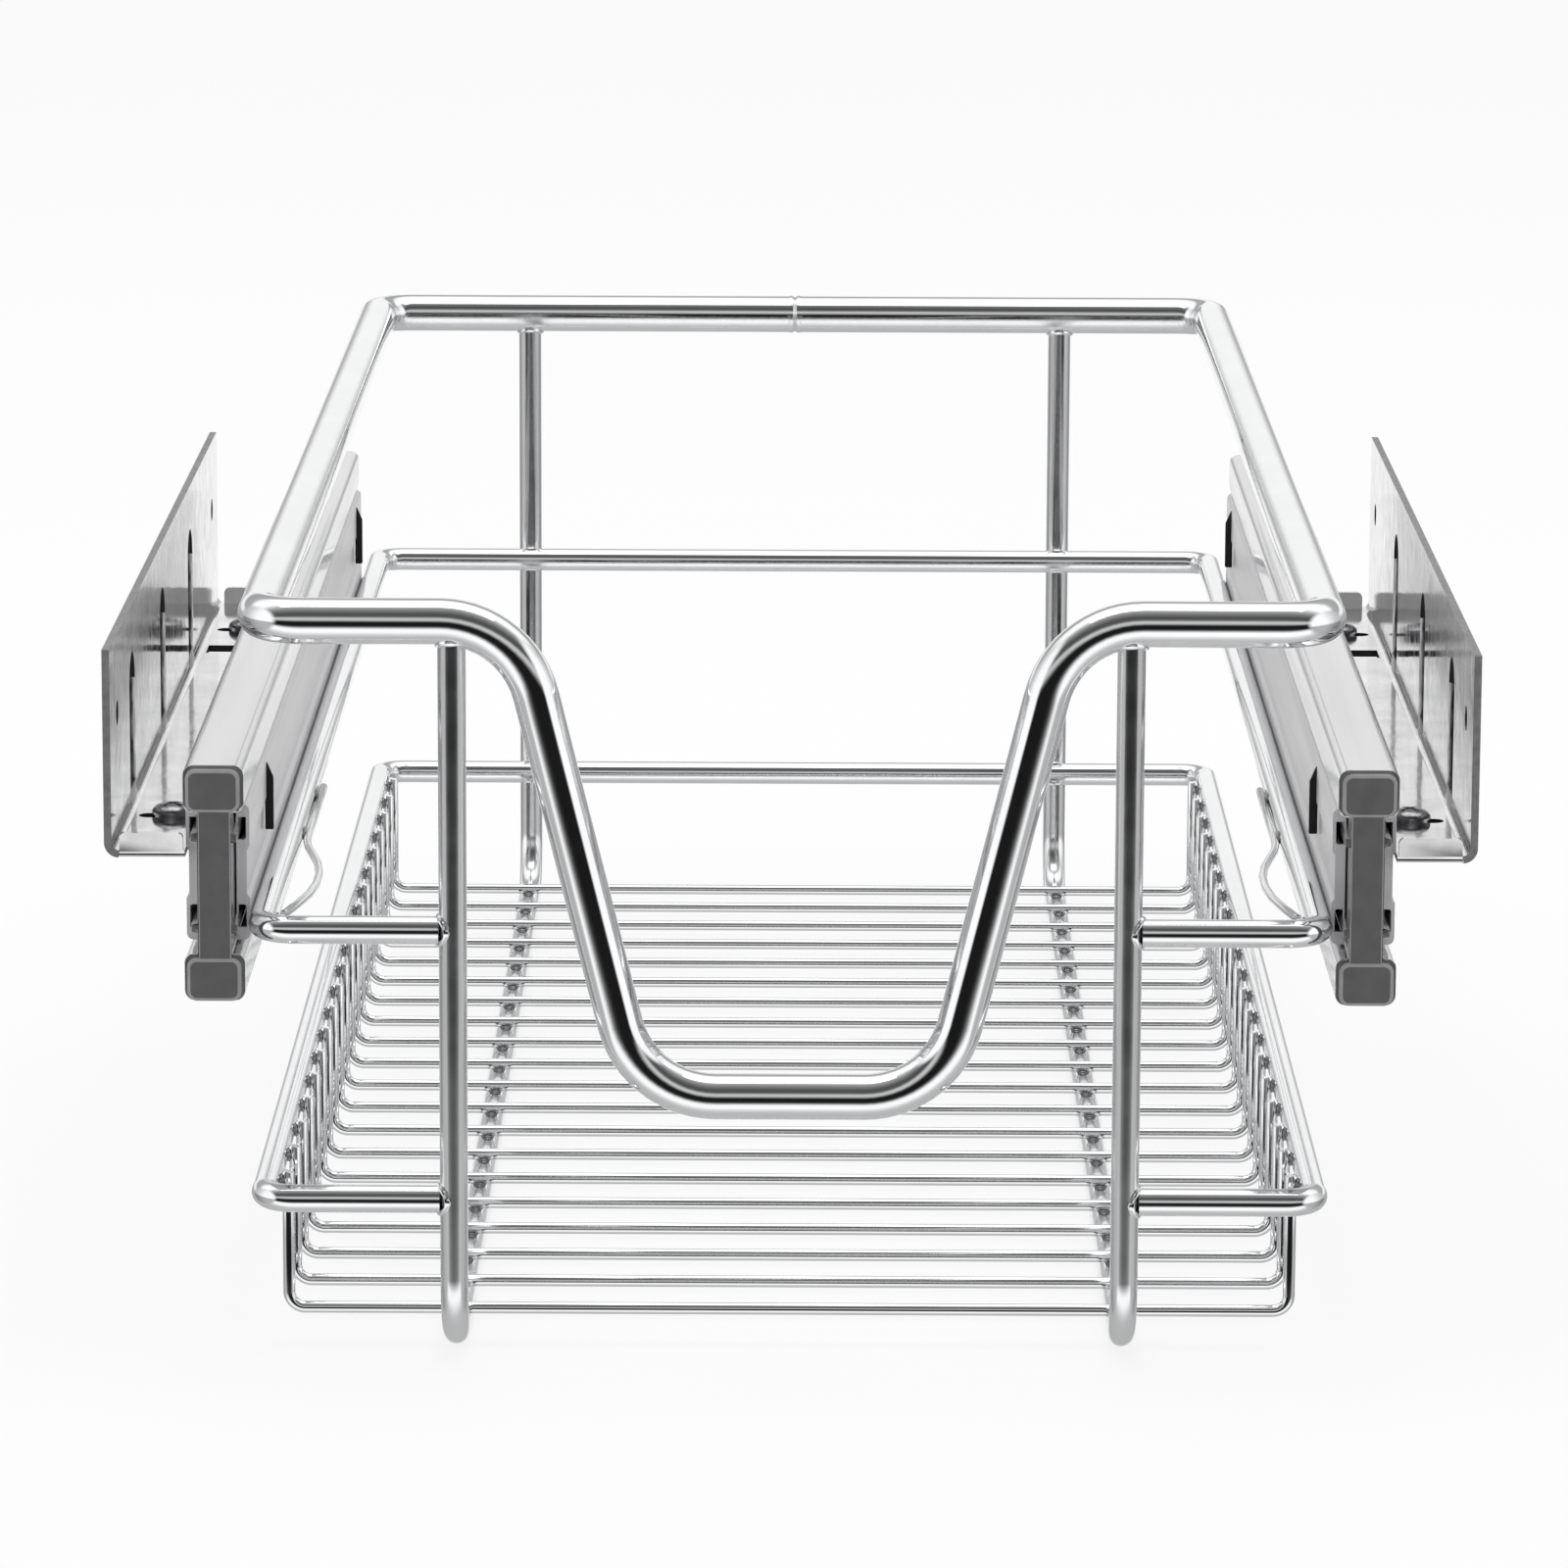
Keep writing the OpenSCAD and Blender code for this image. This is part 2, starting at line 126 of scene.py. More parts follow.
def colour(name, description, default):
    """A colour that a user can set."""
    return FloatVectorProperty(
        name=name, description=description, default=default, size=3, min=0, max=1, subtype="COLOR"
    )


def factor(name, description, default):
    """A share between 0 and 1 that a user can set."""
    return FloatProperty(
        name=name, description=description, default=default, min=0, max=1, subtype="FACTOR"
    )


class BasketSizes(bpy.types.PropertyGroup):
    """Sizes of the basket and its runners."""

    handle_wire: length("Handle wire", "Diameter of the handle wire", 9 * MM)
    frame_wire: length("Frame wire", "Diameter of the middle, rim and support wires", 5.5 * MM)
    grid_wire: length("Grid wire", "Diameter of the cross wires", 2.4 * MM)
    clip_wire: length("Clip wire", "Diameter of the spring wire of the clips", 1.7 * MM)
    clip_bow: length("Clip bow", "How far a clip's middle corner stands in", 7.4 * MM)
    handle_corner: length("Handle corner", "Bend radius of the handle's corners", 8.5 * MM)
    frame_corner: length("Loop corner", "Bend radius of the loops' corners", 6 * MM)
    support_bend: length("Support bend", "Bend radius of the supports at the floor", 14 * MM)
    grid_bend: length("Grid bend", "Bend radius of the cross wires", 3.2 * MM)
    dip_depth: length("Dip depth", "Depth of the grip's dip", 94 * MM)
    dip_floor: length("Dip floor", "Straight length across the dip's bottom", 29 * MM)
    dip_angle: FloatProperty(
        name="Dip angle", description="Slope of the dip's legs", default=math.radians(76),
        subtype="ANGLE"
    )
    dip_bend: length("Dip bend", "Bend radius of the dip", 19.2 * MM)
    weld: length("Weld bead", "Thickness of a weld bead", 1.3 * MM)
    web: length("Web", "Width of the beam's web", 6.6 * MM)
    beam_head: length("Beam head", "Height of the beam's head and of its foot", 9.4 * MM)
    beam_sheet: length("Beam sheet", "Sheet thickness of the beam", 1.2 * MM)
    ball_row: length("Ball row", "Distance of a ball row from the runner's middle", 9 * MM)
    groove: length("Groove", "Radius of a ball groove", 1.35 * MM)
    sheet_edge: length("Sheet edge", "Rounding of the bracket's edges", 0.13 * MM)
    lip_lean: FloatProperty(
        name="Lip lean", description="Lean of the bracket's end lips", default=math.radians(10),
        subtype="ANGLE"
    )


class BasketColours(bpy.types.PropertyGroup):
    """Colours of the finishes. Other finishes use darker shares of the same colours; the weld
    nuggets' 0.3 share is painted shade.
    """

    chrome: colour("Chrome", "Colour of the chromed wire", (0.86, 0.865, 0.875))
    zinc: colour("Zinc", "Colour of the plated rails and beams", (0.70, 0.70, 0.71))
    bracket: colour("Bracket", "Colour of the bright bracket sheet", (0.80, 0.80, 0.805))
    cap: colour("Cap", "Colour of the moulded beam caps", (0.105, 0.105, 0.108))
    # The caps' rounded edges take this lighter colour as a painted highlight.
    cap_edge: colour("Cap edge", "Colour of the caps' rounded edges", (0.3, 0.3, 0.3))
    edge: colour("Sheared edge", "Colour of the bare edges of the bracket", (0.3, 0.3, 0.3))
    # Near-black painted shade for the walls of punched slots, which stand in shadow, and for the
    # rail lugs.
    slot: colour("Slot wall", "Colour of the walls of punched slots", (0.02, 0.02, 0.02))
    screw: colour("Screw", "Colour of the dark rail screws", (0.3, 0.3, 0.31))
    cage: colour("Cage", "Colour of the ball cages", (0.62, 0.57, 0.44))
    floor: colour("Floor", "Colour of the studio floor", (0.9, 0.9, 0.9))


class BasketStudio(bpy.types.PropertyGroup):
    """Light levels of the studio, of which reflections see some and the camera others."""

    world: FloatProperty(
        name="World", description="Level of the studio walls' soft light", default=0.8, min=0
    )
    white: factor("White floor", "Share of plain white that the camera sees in the floor", 0.82)
    overhead: FloatProperty(
        name="Overhead", description="Power of the overhead lamp in watts", default=9, min=0
    )
    sides: factor("Sides", "Level of the lower side walls in reflections", 0.44)
    ground: factor("Ground", "Level of the ground far behind in reflections", 0.85)
    gleam: FloatProperty(
        name="Gleam", description="Level of the brightest walls in reflections", default=1.16,
        min=0
    )


# ---- Surfaces --------------------------------------------------------------------


def unit(v):
    """Vectors scaled to length 1 along the last axis."""
    v = np.asarray(v, float)
    return v / np.linalg.norm(v, axis=-1, keepdims=True)


def grid_faces(rings, around, closed=False):
    """Quads between neighbouring points of a rings x around grid that closes around itself.
    closed also joins the last ring to the first."""
    i = np.arange(rings if closed else rings - 1)[:, None]
    j = np.arange(around)[None, :]
    i2, j2 = (i + 1) % rings, (j + 1) % around
    quads = np.stack([i * around + j, i * around + j2, i2 * around + j2, i2 * around + j], -1)
    return quads.reshape(-1, 4)


def shell(grid, closed=False):
    """Points and faces of a surface given as a grid of points, rings x around x 3. An open
    surface gets one flat face over its first and one over its last ring."""
    rings, around = grid.shape[:2]
    quads = grid_faces(rings, around, closed)
    faces = quads.tolist()
    if not closed:
        faces.append(list(range(around - 1, -1, -1)))
        faces.append(list(range((rings - 1) * around, rings * around)))
    return grid.reshape(-1, 3), faces


def make_piece(name, shells, sharp=35):
    """One object from a list of (points, faces), shaded smooth up to the sharp angle."""
    points, faces, start = [], [], 0
    for p, f in shells:
        points.append(p)
        faces.extend([[k + start for k in face] for face in f])
        start += len(p)
    mesh = bpy.data.meshes.new(name)
    mesh.from_pydata(np.concatenate(points).tolist(), [], faces)
    work = bmesh.new()
    work.from_mesh(mesh)
    bmesh.ops.recalc_face_normals(work, faces=work.faces)
    work.to_mesh(mesh)
    work.free()
    return link_piece(name, mesh, sharp)


def link_piece(name, mesh, sharp):
    """An object of this mesh in the scene, shaded smooth up to the sharp angle."""
    mesh.polygons.foreach_set("use_smooth", np.ones(len(mesh.polygons), bool))
    mesh.set_sharp_from_angle(angle=math.radians(sharp))
    piece = bpy.data.objects.new(name, mesh)
    bpy.context.scene.collection.objects.link(piece)
    return piece


def flatten_faces(piece):
    """Large flat faces keep their own normals, and the rounded edges take up the turn."""
    piece.modifiers.new("flat faces", "WEIGHTED_NORMAL").keep_sharp = True


def finish_piece(piece, body, slot, finish_names, *nodes):
    """The piece rides on body, takes its finishes and stands for the CAD nodes."""
    piece.data.materials.clear()
    for name in finish_names:
        piece.data.materials.append(finishes()[name])
    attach(piece, body)
    if nodes:
        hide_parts(*nodes)


def add_piece(name, shells, body, slot, finish_names, *nodes, sharp=35, flat=False):
    """A piece made of shells and finished, with flattened faces where flat is set."""
    piece = make_piece(name, shells, sharp)
    if flat:
        flatten_faces(piece)
    finish_piece(piece, body, slot, finish_names, *nodes)
    return piece


def bent_path(corners, radii, step=math.radians(6)):
    """Centre line of a wire bent along corners, with its side vectors. A straight run is a
    line between tangent points. A bend is centre + r (cos t, sin t) in the plane of its two
    runs, and the side vector turns with it about the bend's axis."""
    corners = np.asarray(corners, float)
    runs = unit(np.diff(corners, axis=0))
    turns = np.arccos(np.clip((runs[:-1] * runs[1:]).sum(1), -1, 1))
    trims = np.asarray(radii) * np.tan(turns / 2)
    side = unit(np.cross(runs[0], [0, 0, 1] if abs(runs[0][2]) < 0.9 else [1, 0, 0]))
    points, sides, tangents = [corners[:1]], [side[None]], [runs[:1]]
    for k, (turn, radius, trim) in enumerate(zip(turns, radii, trims)):
        u, v = runs[k], runs[k + 1]
        axis = unit(np.cross(u, v))
        inward = np.cross(axis, u)
        centre = corners[k + 1] - u * trim + inward * radius
        t = np.linspace(0, turn, max(3, int(turn / step) + 2))[:, None]
        points.append(centre + radius * (u * np.sin(t) - inward * np.cos(t)))
        tangents.append(u * np.cos(t) + inward * np.sin(t))
        along, across = side @ axis, np.cross(axis, side)
        sides.append(axis * along + (side - axis * along) * np.cos(t) + across * np.sin(t))
        side = sides[-1][-1]
    points.append(corners[-1:])
    sides.append(side[None])
    tangents.append(runs[-1:])
    return np.concatenate(points), np.concatenate(tangents), np.concatenate(sides)


def resample(path, places):
    """The path with more points, at these distances along it, by linear interpolation."""
    points, tangents, sides = path
    s = np.concatenate([[0], np.cumsum(np.linalg.norm(np.diff(points, axis=0), axis=1))])
    places = [p if p >= 0 else s[-1] + p for p in places]
    full = np.unique(np.concatenate([s, places]).round(7))
    full = full[full <= s[-1] + 1e-9]

    def at(values):
        return np.stack([np.interp(full, s, values[:, k]) for k in range(3)], 1)

    return (at(points), unit(at(tangents)), unit(at(sides))), full


def wire_shell(corners, radii, diameter, around, end_round=0.0, end_tilt=0.0, closed=False,
               swell=None, places=()):
    """A bent wire: point = path(s) + r(s) (cos a side + sin a (tangent x side)). Both cut ends
    are rounded off by end_round, and upright ends slope down towards the middle by end_tilt.
    swell(s, total) is added to r."""
    path = bent_path(corners, radii)
    near = [end_round * k for k in (0.3, 1)] if end_round else []
    path, s = resample(path, list(places) + near + [-n for n in near])
    points, tangents, sides = path
    r = np.full(len(s), diameter / 2)
    if swell is not None:
        r = r + swell(s, s[-1])
    if end_round:
        ends = np.minimum(s, s[-1] - s)
        k = np.clip(1 - ends / end_round, 0, 1)
        r = r - end_round * (1 - np.sqrt(1 - 0.98 * k**2))
    if closed:
        points, tangents, sides, r = points[:-1], tangents[:-1], sides[:-1], r[:-1]
    a = np.arange(around) / around * TURN
    normals = np.cross(tangents, sides)
    rings = (
        points[:, None]
        + r[:, None, None] * (np.cos(a)[None, :, None] * sides[:, None]
                              + np.sin(a)[None, :, None] * normals[:, None])
    )
    if end_tilt:
        for end in (0, -1):
            inward = -np.sign(points[end][0])
            rings[end, :, 2] -= (rings[end, :, 0] - points[end][0]) * inward * end_tilt
    return shell(rings, closed)


def rounded_outline(corners, radii, steps=5):
    """Outline of a profile with rounded corners: at a corner of radius r the arc
    centre + r (sin t u - cos t inward) joins its two sides, where u is the way in."""
    corners = np.asarray(corners, float)
    u = unit(corners - np.roll(corners, 1, 0))
    v = np.roll(u, -1, 0)
    turn = np.arctan2(u[:, 0] * v[:, 1] - u[:, 1] * v[:, 0], (u * v).sum(1))
    radii = np.broadcast_to(np.asarray(radii, float), turn.shape)[:, None]
    inward = np.stack([-u[:, 1], u[:, 0]], 1) * np.sign(turn)[:, None]
    centre = corners - u * radii * np.tan(np.abs(turn) / 2)[:, None] + inward * radii
    t = np.linspace(0, 1, steps)[None, :, None] * np.abs(turn)[:, None, None]
    arc = u[:, None] * np.sin(t) - inward[:, None] * np.cos(t)
    outline = (centre[:, None] + radii[:, None] * arc).reshape(-1, 2)
    return outline[np.linalg.norm(outline - np.roll(outline, 1, 0), axis=1) > 1e-7]


def plate(across, up, radius, steps=5):
    """Outline of a rounded rectangle between two places across and two up, in millimetres."""
    corners = [(across[0], up[0]), (across[1], up[0]), (across[1], up[1]), (across[0], up[1])]
    return rounded_outline(np.array(corners) * MM, radius * MM, steps)


def outward(outline):
    """Outward normals of an anticlockwise outline: its tangents turned by -90 degrees."""
    along = unit(np.roll(outline, -1, 0) - np.roll(outline, 1, 0))
    return np.stack([along[:, 1], -along[:, 0]], 1)


def turned_down(outline):
    """The outline with up and down exchanged, in reversed order to stay anticlockwise."""
    return (outline * (1, -1))[::-1]


def round_edge(y0, y1, edge, steps=4):
    """Places and insets of the rings of a run from y0 to y1 with rounded end edges: at angle
    t the ring stands edge (1 - cos t) in and is smaller by edge (1 - sin t)."""
    t = np.linspace(0, math.pi / 2, steps)
    inset, depth = edge * (1 - np.sin(t)), edge * (1 - np.cos(t))
    return np.concatenate([y0 + depth, y1 - depth[::-1]]), np.concatenate([inset, inset[::-1]])


def run_rings(outline, places, insets):
    """Rings of an outline, smaller by their insets, as (across, along, up) points."""
    flat = outline[None] - outward(outline)[None] * insets[:, None, None]
    along = np.broadcast_to(places[:, None], flat.shape[:2])
    return np.stack([flat[..., 0], along, flat[..., 1]], -1)


def solid_run(outline, y0, y1, edge, place):
    """A profile carried from y0 to y1 with rounded end edges. place moves the points."""
    return shell(place(run_rings(outline, *round_edge(y0, y1, edge))))


def hollow_run(outer, inner, y0, y1, edge, place):
    """A hollow profile carried from y0 to y1. The rings go out along the outer outline and
    come back along the inner one, which has the same number of points."""
    places, insets = round_edge(y0, y1, edge, 3)
    out, back = run_rings(outer, places, insets), run_rings(inner, places[::-1], -insets)
    return shell(place(np.concatenate([out, back])), closed=True)


def bead(centre, branch, main_r, branch_r, thick):
    """Weld bead round a wire that meets another: a tube round the curve
    O + h(a) branch + r (cos a main + sin a Y), h = sqrt(R^2 - (0.9 r sin a)^2), where main is
    the other wire's axis. The tube's thickness waves a little, as a bead's does."""
    branch, across = unit(branch), np.array([0, 1, 0])
    main = np.cross(branch, across)
    a = np.linspace(0, TURN, 40, endpoint=False)[:, None]
    out = np.cos(a) * main + np.sin(a) * across
    height = np.sqrt(np.maximum(main_r**2 - (0.9 * branch_r * np.sin(a)) ** 2, 0.2 * main_r**2))
    curve = np.asarray(centre) + height * branch + branch_r * out
    size = thick * (1 + 0.10 * np.sin(3 * a + 1) + 0.07 * np.sin(7 * a))
    b = np.linspace(0, TURN, 10, endpoint=False)[None, :, None]
    ring = np.cos(b) * out[:, None] + np.sin(b) * branch
    return shell(curve[:, None] + size[:, None] * ring, closed=True)


def nuggets(centres, radii, around):
    """Weld nuggets: flattened balls centre + (rx sin u cos v, ry sin u sin v, rz cos u), as
    one set of points and faces."""
    u = np.linspace(0.12, math.pi - 0.12, 7)[:, None]
    v = np.linspace(0, TURN, around, endpoint=False)[None]
    ball = np.stack([np.sin(u) * np.cos(v), np.sin(u) * np.sin(v), np.cos(u) + 0 * v], -1)
    points, faces = shell(ball * np.asarray(radii))
    moved = (np.array(centres)[:, None] + points[None]).reshape(-1, 3)
    shifted = [[k + n * len(points) for k in face] for n in range(len(centres)) for face in faces]
    return moved, shifted


def face_values(mesh):
    """Centres and normals of a mesh's faces."""
    centres, normals = (np.empty(len(mesh.polygons) * 3, np.float32) for _ in range(2))
    mesh.polygons.foreach_get("center", centres)
    mesh.polygons.foreach_get("normal", normals)
    return centres.reshape(-1, 3), normals.reshape(-1, 3)


# ---- Finishes --------------------------------------------------------------------


def add_node(tree, kind, inputs=None, output=0, **settings):
    """An output of a new shader node. Its inputs take values, or links from other outputs."""
    node = tree.nodes.new("ShaderNode" + kind)
    for name, value in settings.items():
        setattr(node, name, value)
    for key, value in (inputs or {}).items():
        if isinstance(value, bpy.types.NodeSocket):
            tree.links.new(value, node.inputs[key])
        else:
            node.inputs[key].default_value = value
    return node.outputs[output]


def add_ramp(tree, value, stops):
    """The colour of a ramp over value, from pairs of a place and a colour."""
    ramp = add_node(tree, "ValToRGB", {"Fac": value}, "Color")
    elements = ramp.node.color_ramp.elements
    elements.remove(elements[-1])
    elements[0].position = stops[0][0]
    for k, (place, shade) in enumerate(stops):
        (elements.new(place) if k else elements[0]).color = (*shade, 1)
    return ramp


def map_range(tree, value, start, end, low, high, kind="LINEAR"):
    """The value carried from the range start to end over to the range low to high."""
    inputs = {"Value": value, "From Min": start, "From Max": end, "To Min": low, "To Max": high}
    return add_node(tree, "MapRange", inputs, "Result", interpolation_type=kind)


def make_finish(name, metallic, roughness, shade, tint, gloss, *reliefs):
    """A Principled material whose patterns read Object coordinates. The colour goes from a
    share of itself to itself with the tint's pattern, the roughness from low to high with the
    gloss's pattern, and each relief is a height in metres and a pattern, one on the other. A
    pattern is a noise of a scale per metre and a detail, drawn out by a small stretch."""
    material = bpy.data.materials.new(name)
    material.use_nodes = True
    tree = material.node_tree
    sockets = tree.nodes["Principled BSDF"].inputs
    sockets["Metallic"].default_value = metallic
    sockets["Roughness"].default_value = roughness
    sockets["Base Color"].default_value = (*shade, 1)
    place = add_node(tree, "TexCoord", output="Object")

    def noise(scale, detail, stretch=(1, 1, 1)):
        vector = add_node(tree, "Mapping", {"Scale": stretch, "Vector": place}, "Vector")
        return add_node(tree, "TexNoise", {"Scale": scale, "Detail": detail, "Vector": vector},
                        "Fac")

    share, *pattern = tint
    shades = np.array(shade) * share, shade
    base = add_ramp(tree, noise(*pattern), list(zip((0.35, 0.65), shades)))
    tree.links.new(base, sockets["Base Color"])
    low, high, *pattern = gloss
    tree.links.new(map_range(tree, noise(*pattern), 0.3, 0.7, low, high), sockets["Roughness"])
    bumps = {}
    for height, *pattern in reliefs:
        bumps.update({"Strength": 1, "Distance": height, "Height": noise(*pattern)})
        bumps["Normal"] = add_node(tree, "Bump", bumps, "Normal")
    tree.links.new(bumps["Normal"], sockets["Normal"])


def chrome_finish(name, shade, low=0.04, high=0.09):
    """Bright plating over drawn wire: faint unevenness and slightly cloudy gloss."""
    make_finish(name, 1, 0.06, shade, (0.95, 45, 4), (low, high, 140, 3), (0.00001, 120, 2),
                (0.0000006, 900, 2))


def zinc_finish(name, shade, low, high, metallic=1):
    """Satin zinc over roll-formed strip, with faint lines along its length."""
    lines = (1, 0.02, 1)
    make_finish(name, metallic, 0.27, shade, (0.93, 60, 5, (1, 0.15, 1)),
                (low, high, 300, 4, lines), (0.000003, 900, 3, lines), (0.000008, 60, 2))


def sheet_finish(name, shade):
    """Bright plated sheet whose faces are gently wavy and cloudy."""
    make_finish(name, 1, 0.1, shade, (0.8, 110, 5, (1, 0.6, 1)), (0.05, 0.15, 240, 4),
                (0.00012, 70, 2, (1, 0.5, 1)), (0.00002, 260, 2, (1, 0.6, 0.4)))


def edge_finish(name, shade, low, high):
    """Bare steel of a sheared or punched edge, dull and a little uneven."""
    make_finish(name, 0.6, 0.5, shade, (0.75, 500, 4), (low, high, 1200, 3), (0.00001, 1500, 3))


def cap_finish(name, shade):
    """Moulded grey plastic with a fine spark-eroded grain."""
    make_finish(name, 0, 0.5, shade, (0.86, 220, 4), (0.42, 0.58, 2400, 2), (0.00003, 2600, 2))


def screw_finish(name, shade):
    """Dark plating on a screw, worn a little along its turned marks."""
    make_finish(name, 1, 0.2, shade, (0.6, 900, 3), (0.12, 0.24, 1600, 2), (0.000004, 1200, 2))


def finishes():
    """The materials by name. The first call makes them from the colours."""
    colours = bpy.context.scene.basket_colours
    if "chrome" not in bpy.data.materials:
        chrome_finish("chrome", colours.chrome)
        chrome_finish("spring chrome", [c * 0.92 for c in colours.chrome], 0.08, 0.14)
        chrome_finish("soft chrome", colours.chrome, 0.15, 0.2)
        # The weld nuggets' chrome is darkened to 0.3 of itself: painted shade where the wires
        # meet.
        chrome_finish("weld chrome", [c * 0.3 for c in colours.chrome], 0.2, 0.3)
        chrome_finish("bearing steel", colours.chrome, 0.03, 0.06)
        zinc_finish("rail zinc", colours.zinc, 0.3, 0.4, 0.3)
        zinc_finish("lip zinc", colours.bracket, 0.3, 0.4, 0.1)
        zinc_finish("beam zinc", colours.zinc, 0.12, 0.2, 0.85)
        sheet_finish("bracket zinc", colours.bracket)
        zinc_finish("cage zinc", colours.cage, 0.3, 0.42)
        edge_finish("sheared edge", colours.edge, 0.4, 0.6)
        # The slot walls' near-black colour is painted shade.
        edge_finish("slot wall", colours.slot, 0.5, 0.7)
        cap_finish("cap plastic", colours.cap)
        # The caps' rounded edges get the lighter colour as a painted highlight.
        cap_finish("cap edge", colours.cap_edge)
        screw_finish("screw black", colours.screw)
    return bpy.data.materials


# ---- Operators -------------------------------------------------------------------


class BASKET_OT_stage(bpy.types.Operator):
    """Makes the camera, the pale floor, the lamp and the white world with its dark front."""

    bl_idname = "basket.stage"
    bl_label = "Studio"

    # Parts of a glossy ray's direction between which the studio's parts give way: the side
    # walls by |x|, their dark lower part by z, their dim rear by y, and the ground by all three
    SIDE_X, SIDE_Z, SIDE_Y = (0.7, 0.84), (-0.13, -0.02), (-0.2, 0.55)
    GROUND_X, GROUND_Y, GROUND_Z = (0.25, 0.4), (0.8, 0.9), (-0.1, -0.03)
    REAR_DIM = 0.5
    FLOOR_HALF, FLOOR_DROP = 8, 0.3 * MM

    def execute(self, context):
        scene = context.scene
        scene.view_settings.view_transform = "Standard"
        self.add_camera(scene)
        self.add_floor(scene.basket_colours.floor, scene.basket_studio.white)
        self.add_world(scene, scene.basket_studio)
        self.add_lamp(scene, scene.basket_studio.overhead)
        return {"FINISHED"}

    @staticmethod
    def add_camera(scene):
        """The camera looks along (sin yaw cos pitch, cos yaw cos pitch, -sin pitch)."""
        pitch, yaw, roll = CAMERA_PITCH, CAMERA_YAW, CAMERA_ROLL
        ahead = np.array([
            math.sin(yaw) * math.cos(pitch), math.cos(yaw) * math.cos(pitch), -math.sin(pitch)
        ])
        right = np.array([math.cos(yaw), -math.sin(yaw), 0])
        down = np.cross(ahead, right)
        right, down = (
            math.cos(roll) * right + math.sin(roll) * down,
            -math.sin(roll) * right + math.cos(roll) * down,
        )
        data = bpy.data.cameras.new("camera")
        data.lens, data.sensor_width, data.sensor_fit = CAMERA_LENS, CAMERA_FILM, "HORIZONTAL"
        data.clip_end = 100
        camera = bpy.data.objects.new("camera", data)
        turned = Matrix(np.stack([right, -down, -ahead], 1).tolist()).to_4x4()
        turned.translation = CAMERA_PLACE
        camera.matrix_world = turned
        scene.collection.objects.link(camera)
        scene.camera = camera

    def add_floor(self, shade, white):
        """A wide plain floor. Camera rays see it nearly white, and it keeps some shadow."""
        corners = np.array([(-1, -1), (1, -1), (1, 1), (-1, 1)], float) * self.FLOOR_HALF
        points = np.column_stack([corners, np.full(4, CAD_BOX[0][2] - self.FLOOR_DROP)])
        floor = make_piece("floor", [(points, [[0, 1, 2, 3]])])
        material = bpy.data.materials.new("floor")
        material.use_nodes = True
        tree = material.node_tree
        shader = tree.nodes["Principled BSDF"]
        shader.inputs["Base Color"].default_value = (*shade, 1)
        shader.inputs["Roughness"].default_value = 0.9
        shader.inputs["Specular IOR Level"].default_value = 0
        glow = add_node(tree, "Emission", {"Color": (1, 1, 1, 1)})
        rays = add_node(tree, "LightPath", output="Is Camera Ray")
        share = add_node(tree, "Math", {0: rays, 1: white}, operation="MULTIPLY")
        mix = add_node(tree, "MixShader", {0: share, 1: shader.outputs[0], 2: glow})
        tree.links.new(mix, tree.nodes["Material Output"].inputs["Surface"])
        floor.data.materials.append(material)
        floor.visible_glossy = False

    def add_world(self, scene, studio):
        """White for the camera, and an even level for soft light. Polished metal sees the
        studio in bands of the angle t = atan2(z, -y) from the front horizon upwards. They give
        way to the side walls' level where |x| nears 1, and to bright ground just under the
        horizon far behind."""
        world = bpy.data.worlds.new("studio")
        scene.world = world
        world.use_nodes = True
        tree = world.node_tree

        def calculate(operation, *values):
            return add_node(tree, "Math", dict(enumerate(values)), operation=operation)

        def step(value, span, low=0, high=1):
            return map_range(tree, value, *span, low, high, "SMOOTHSTEP")

        def blend(share, first, second):
            return add_node(tree, "Mix", {"Factor": share, "A": first, "B": second}, "Result",
                            data_type="RGBA")

        def background(level, shade=(1, 1, 1, 1)):
            return add_node(tree, "Background", {"Color": shade, "Strength": level})

        directions = add_node(tree, "TexCoord", output="Generated")
        x, y, z = add_node(tree, "SeparateXYZ", {0: directions}).node.outputs
        aside = calculate("ABSOLUTE", x)
        angle = calculate("ARCTAN2", z, calculate("MULTIPLY", y, -1))
        turn = calculate("FRACT", calculate("ADD", calculate("DIVIDE", angle, TURN), 1.25))
        bands = add_ramp(tree, turn, [((k + 90) / 360, [level] * 3) for k, level in STUDIO_BANDS])
        sides = calculate("MULTIPLY", step(z, self.SIDE_Z, studio.sides, 1),
                          step(y, self.SIDE_Y, 1, self.REAR_DIM))
        seen = blend(step(aside, self.SIDE_X), bands, sides)
        behind = calculate("MULTIPLY", step(y, self.GROUND_Y), step(aside, self.GROUND_X, 1, 0))
        behind = calculate("MULTIPLY", step(z, self.GROUND_Z, 1, 0), behind)
        seen = blend(behind, seen, (*[studio.ground] * 3, 1))

        shown = background(studio.world)
        for ray, wall in (("Is Glossy Ray", background(studio.gleam, seen)),
                          ("Is Camera Ray", background(1))):
            rays = add_node(tree, "LightPath", output=ray)
            shown = add_node(tree, "MixShader", {0: rays, 1: shown, 2: wall})
        tree.links.new(shown, tree.nodes["World Output"].inputs["Surface"])
        tree.nodes.remove(tree.nodes["Background"])

    @staticmethod
    def add_lamp(scene, power):
        """One wide soft lamp overhead, a little to the rear."""
        data = bpy.data.lights.new("overhead", "AREA")
        data.shape, data.size, data.size_y = "RECTANGLE", 1.6, 1.2
        data.energy = power
        lamp = bpy.data.objects.new("overhead", data)
        lamp.location = (0, 0.2, 1.6)
        scene.collection.objects.link(lamp)


def wire_piece(name, wire, slot, finish, node):
    """One wire of the basket in place of its node."""
    add_piece(name, [wire], "basket", slot, [finish], node)


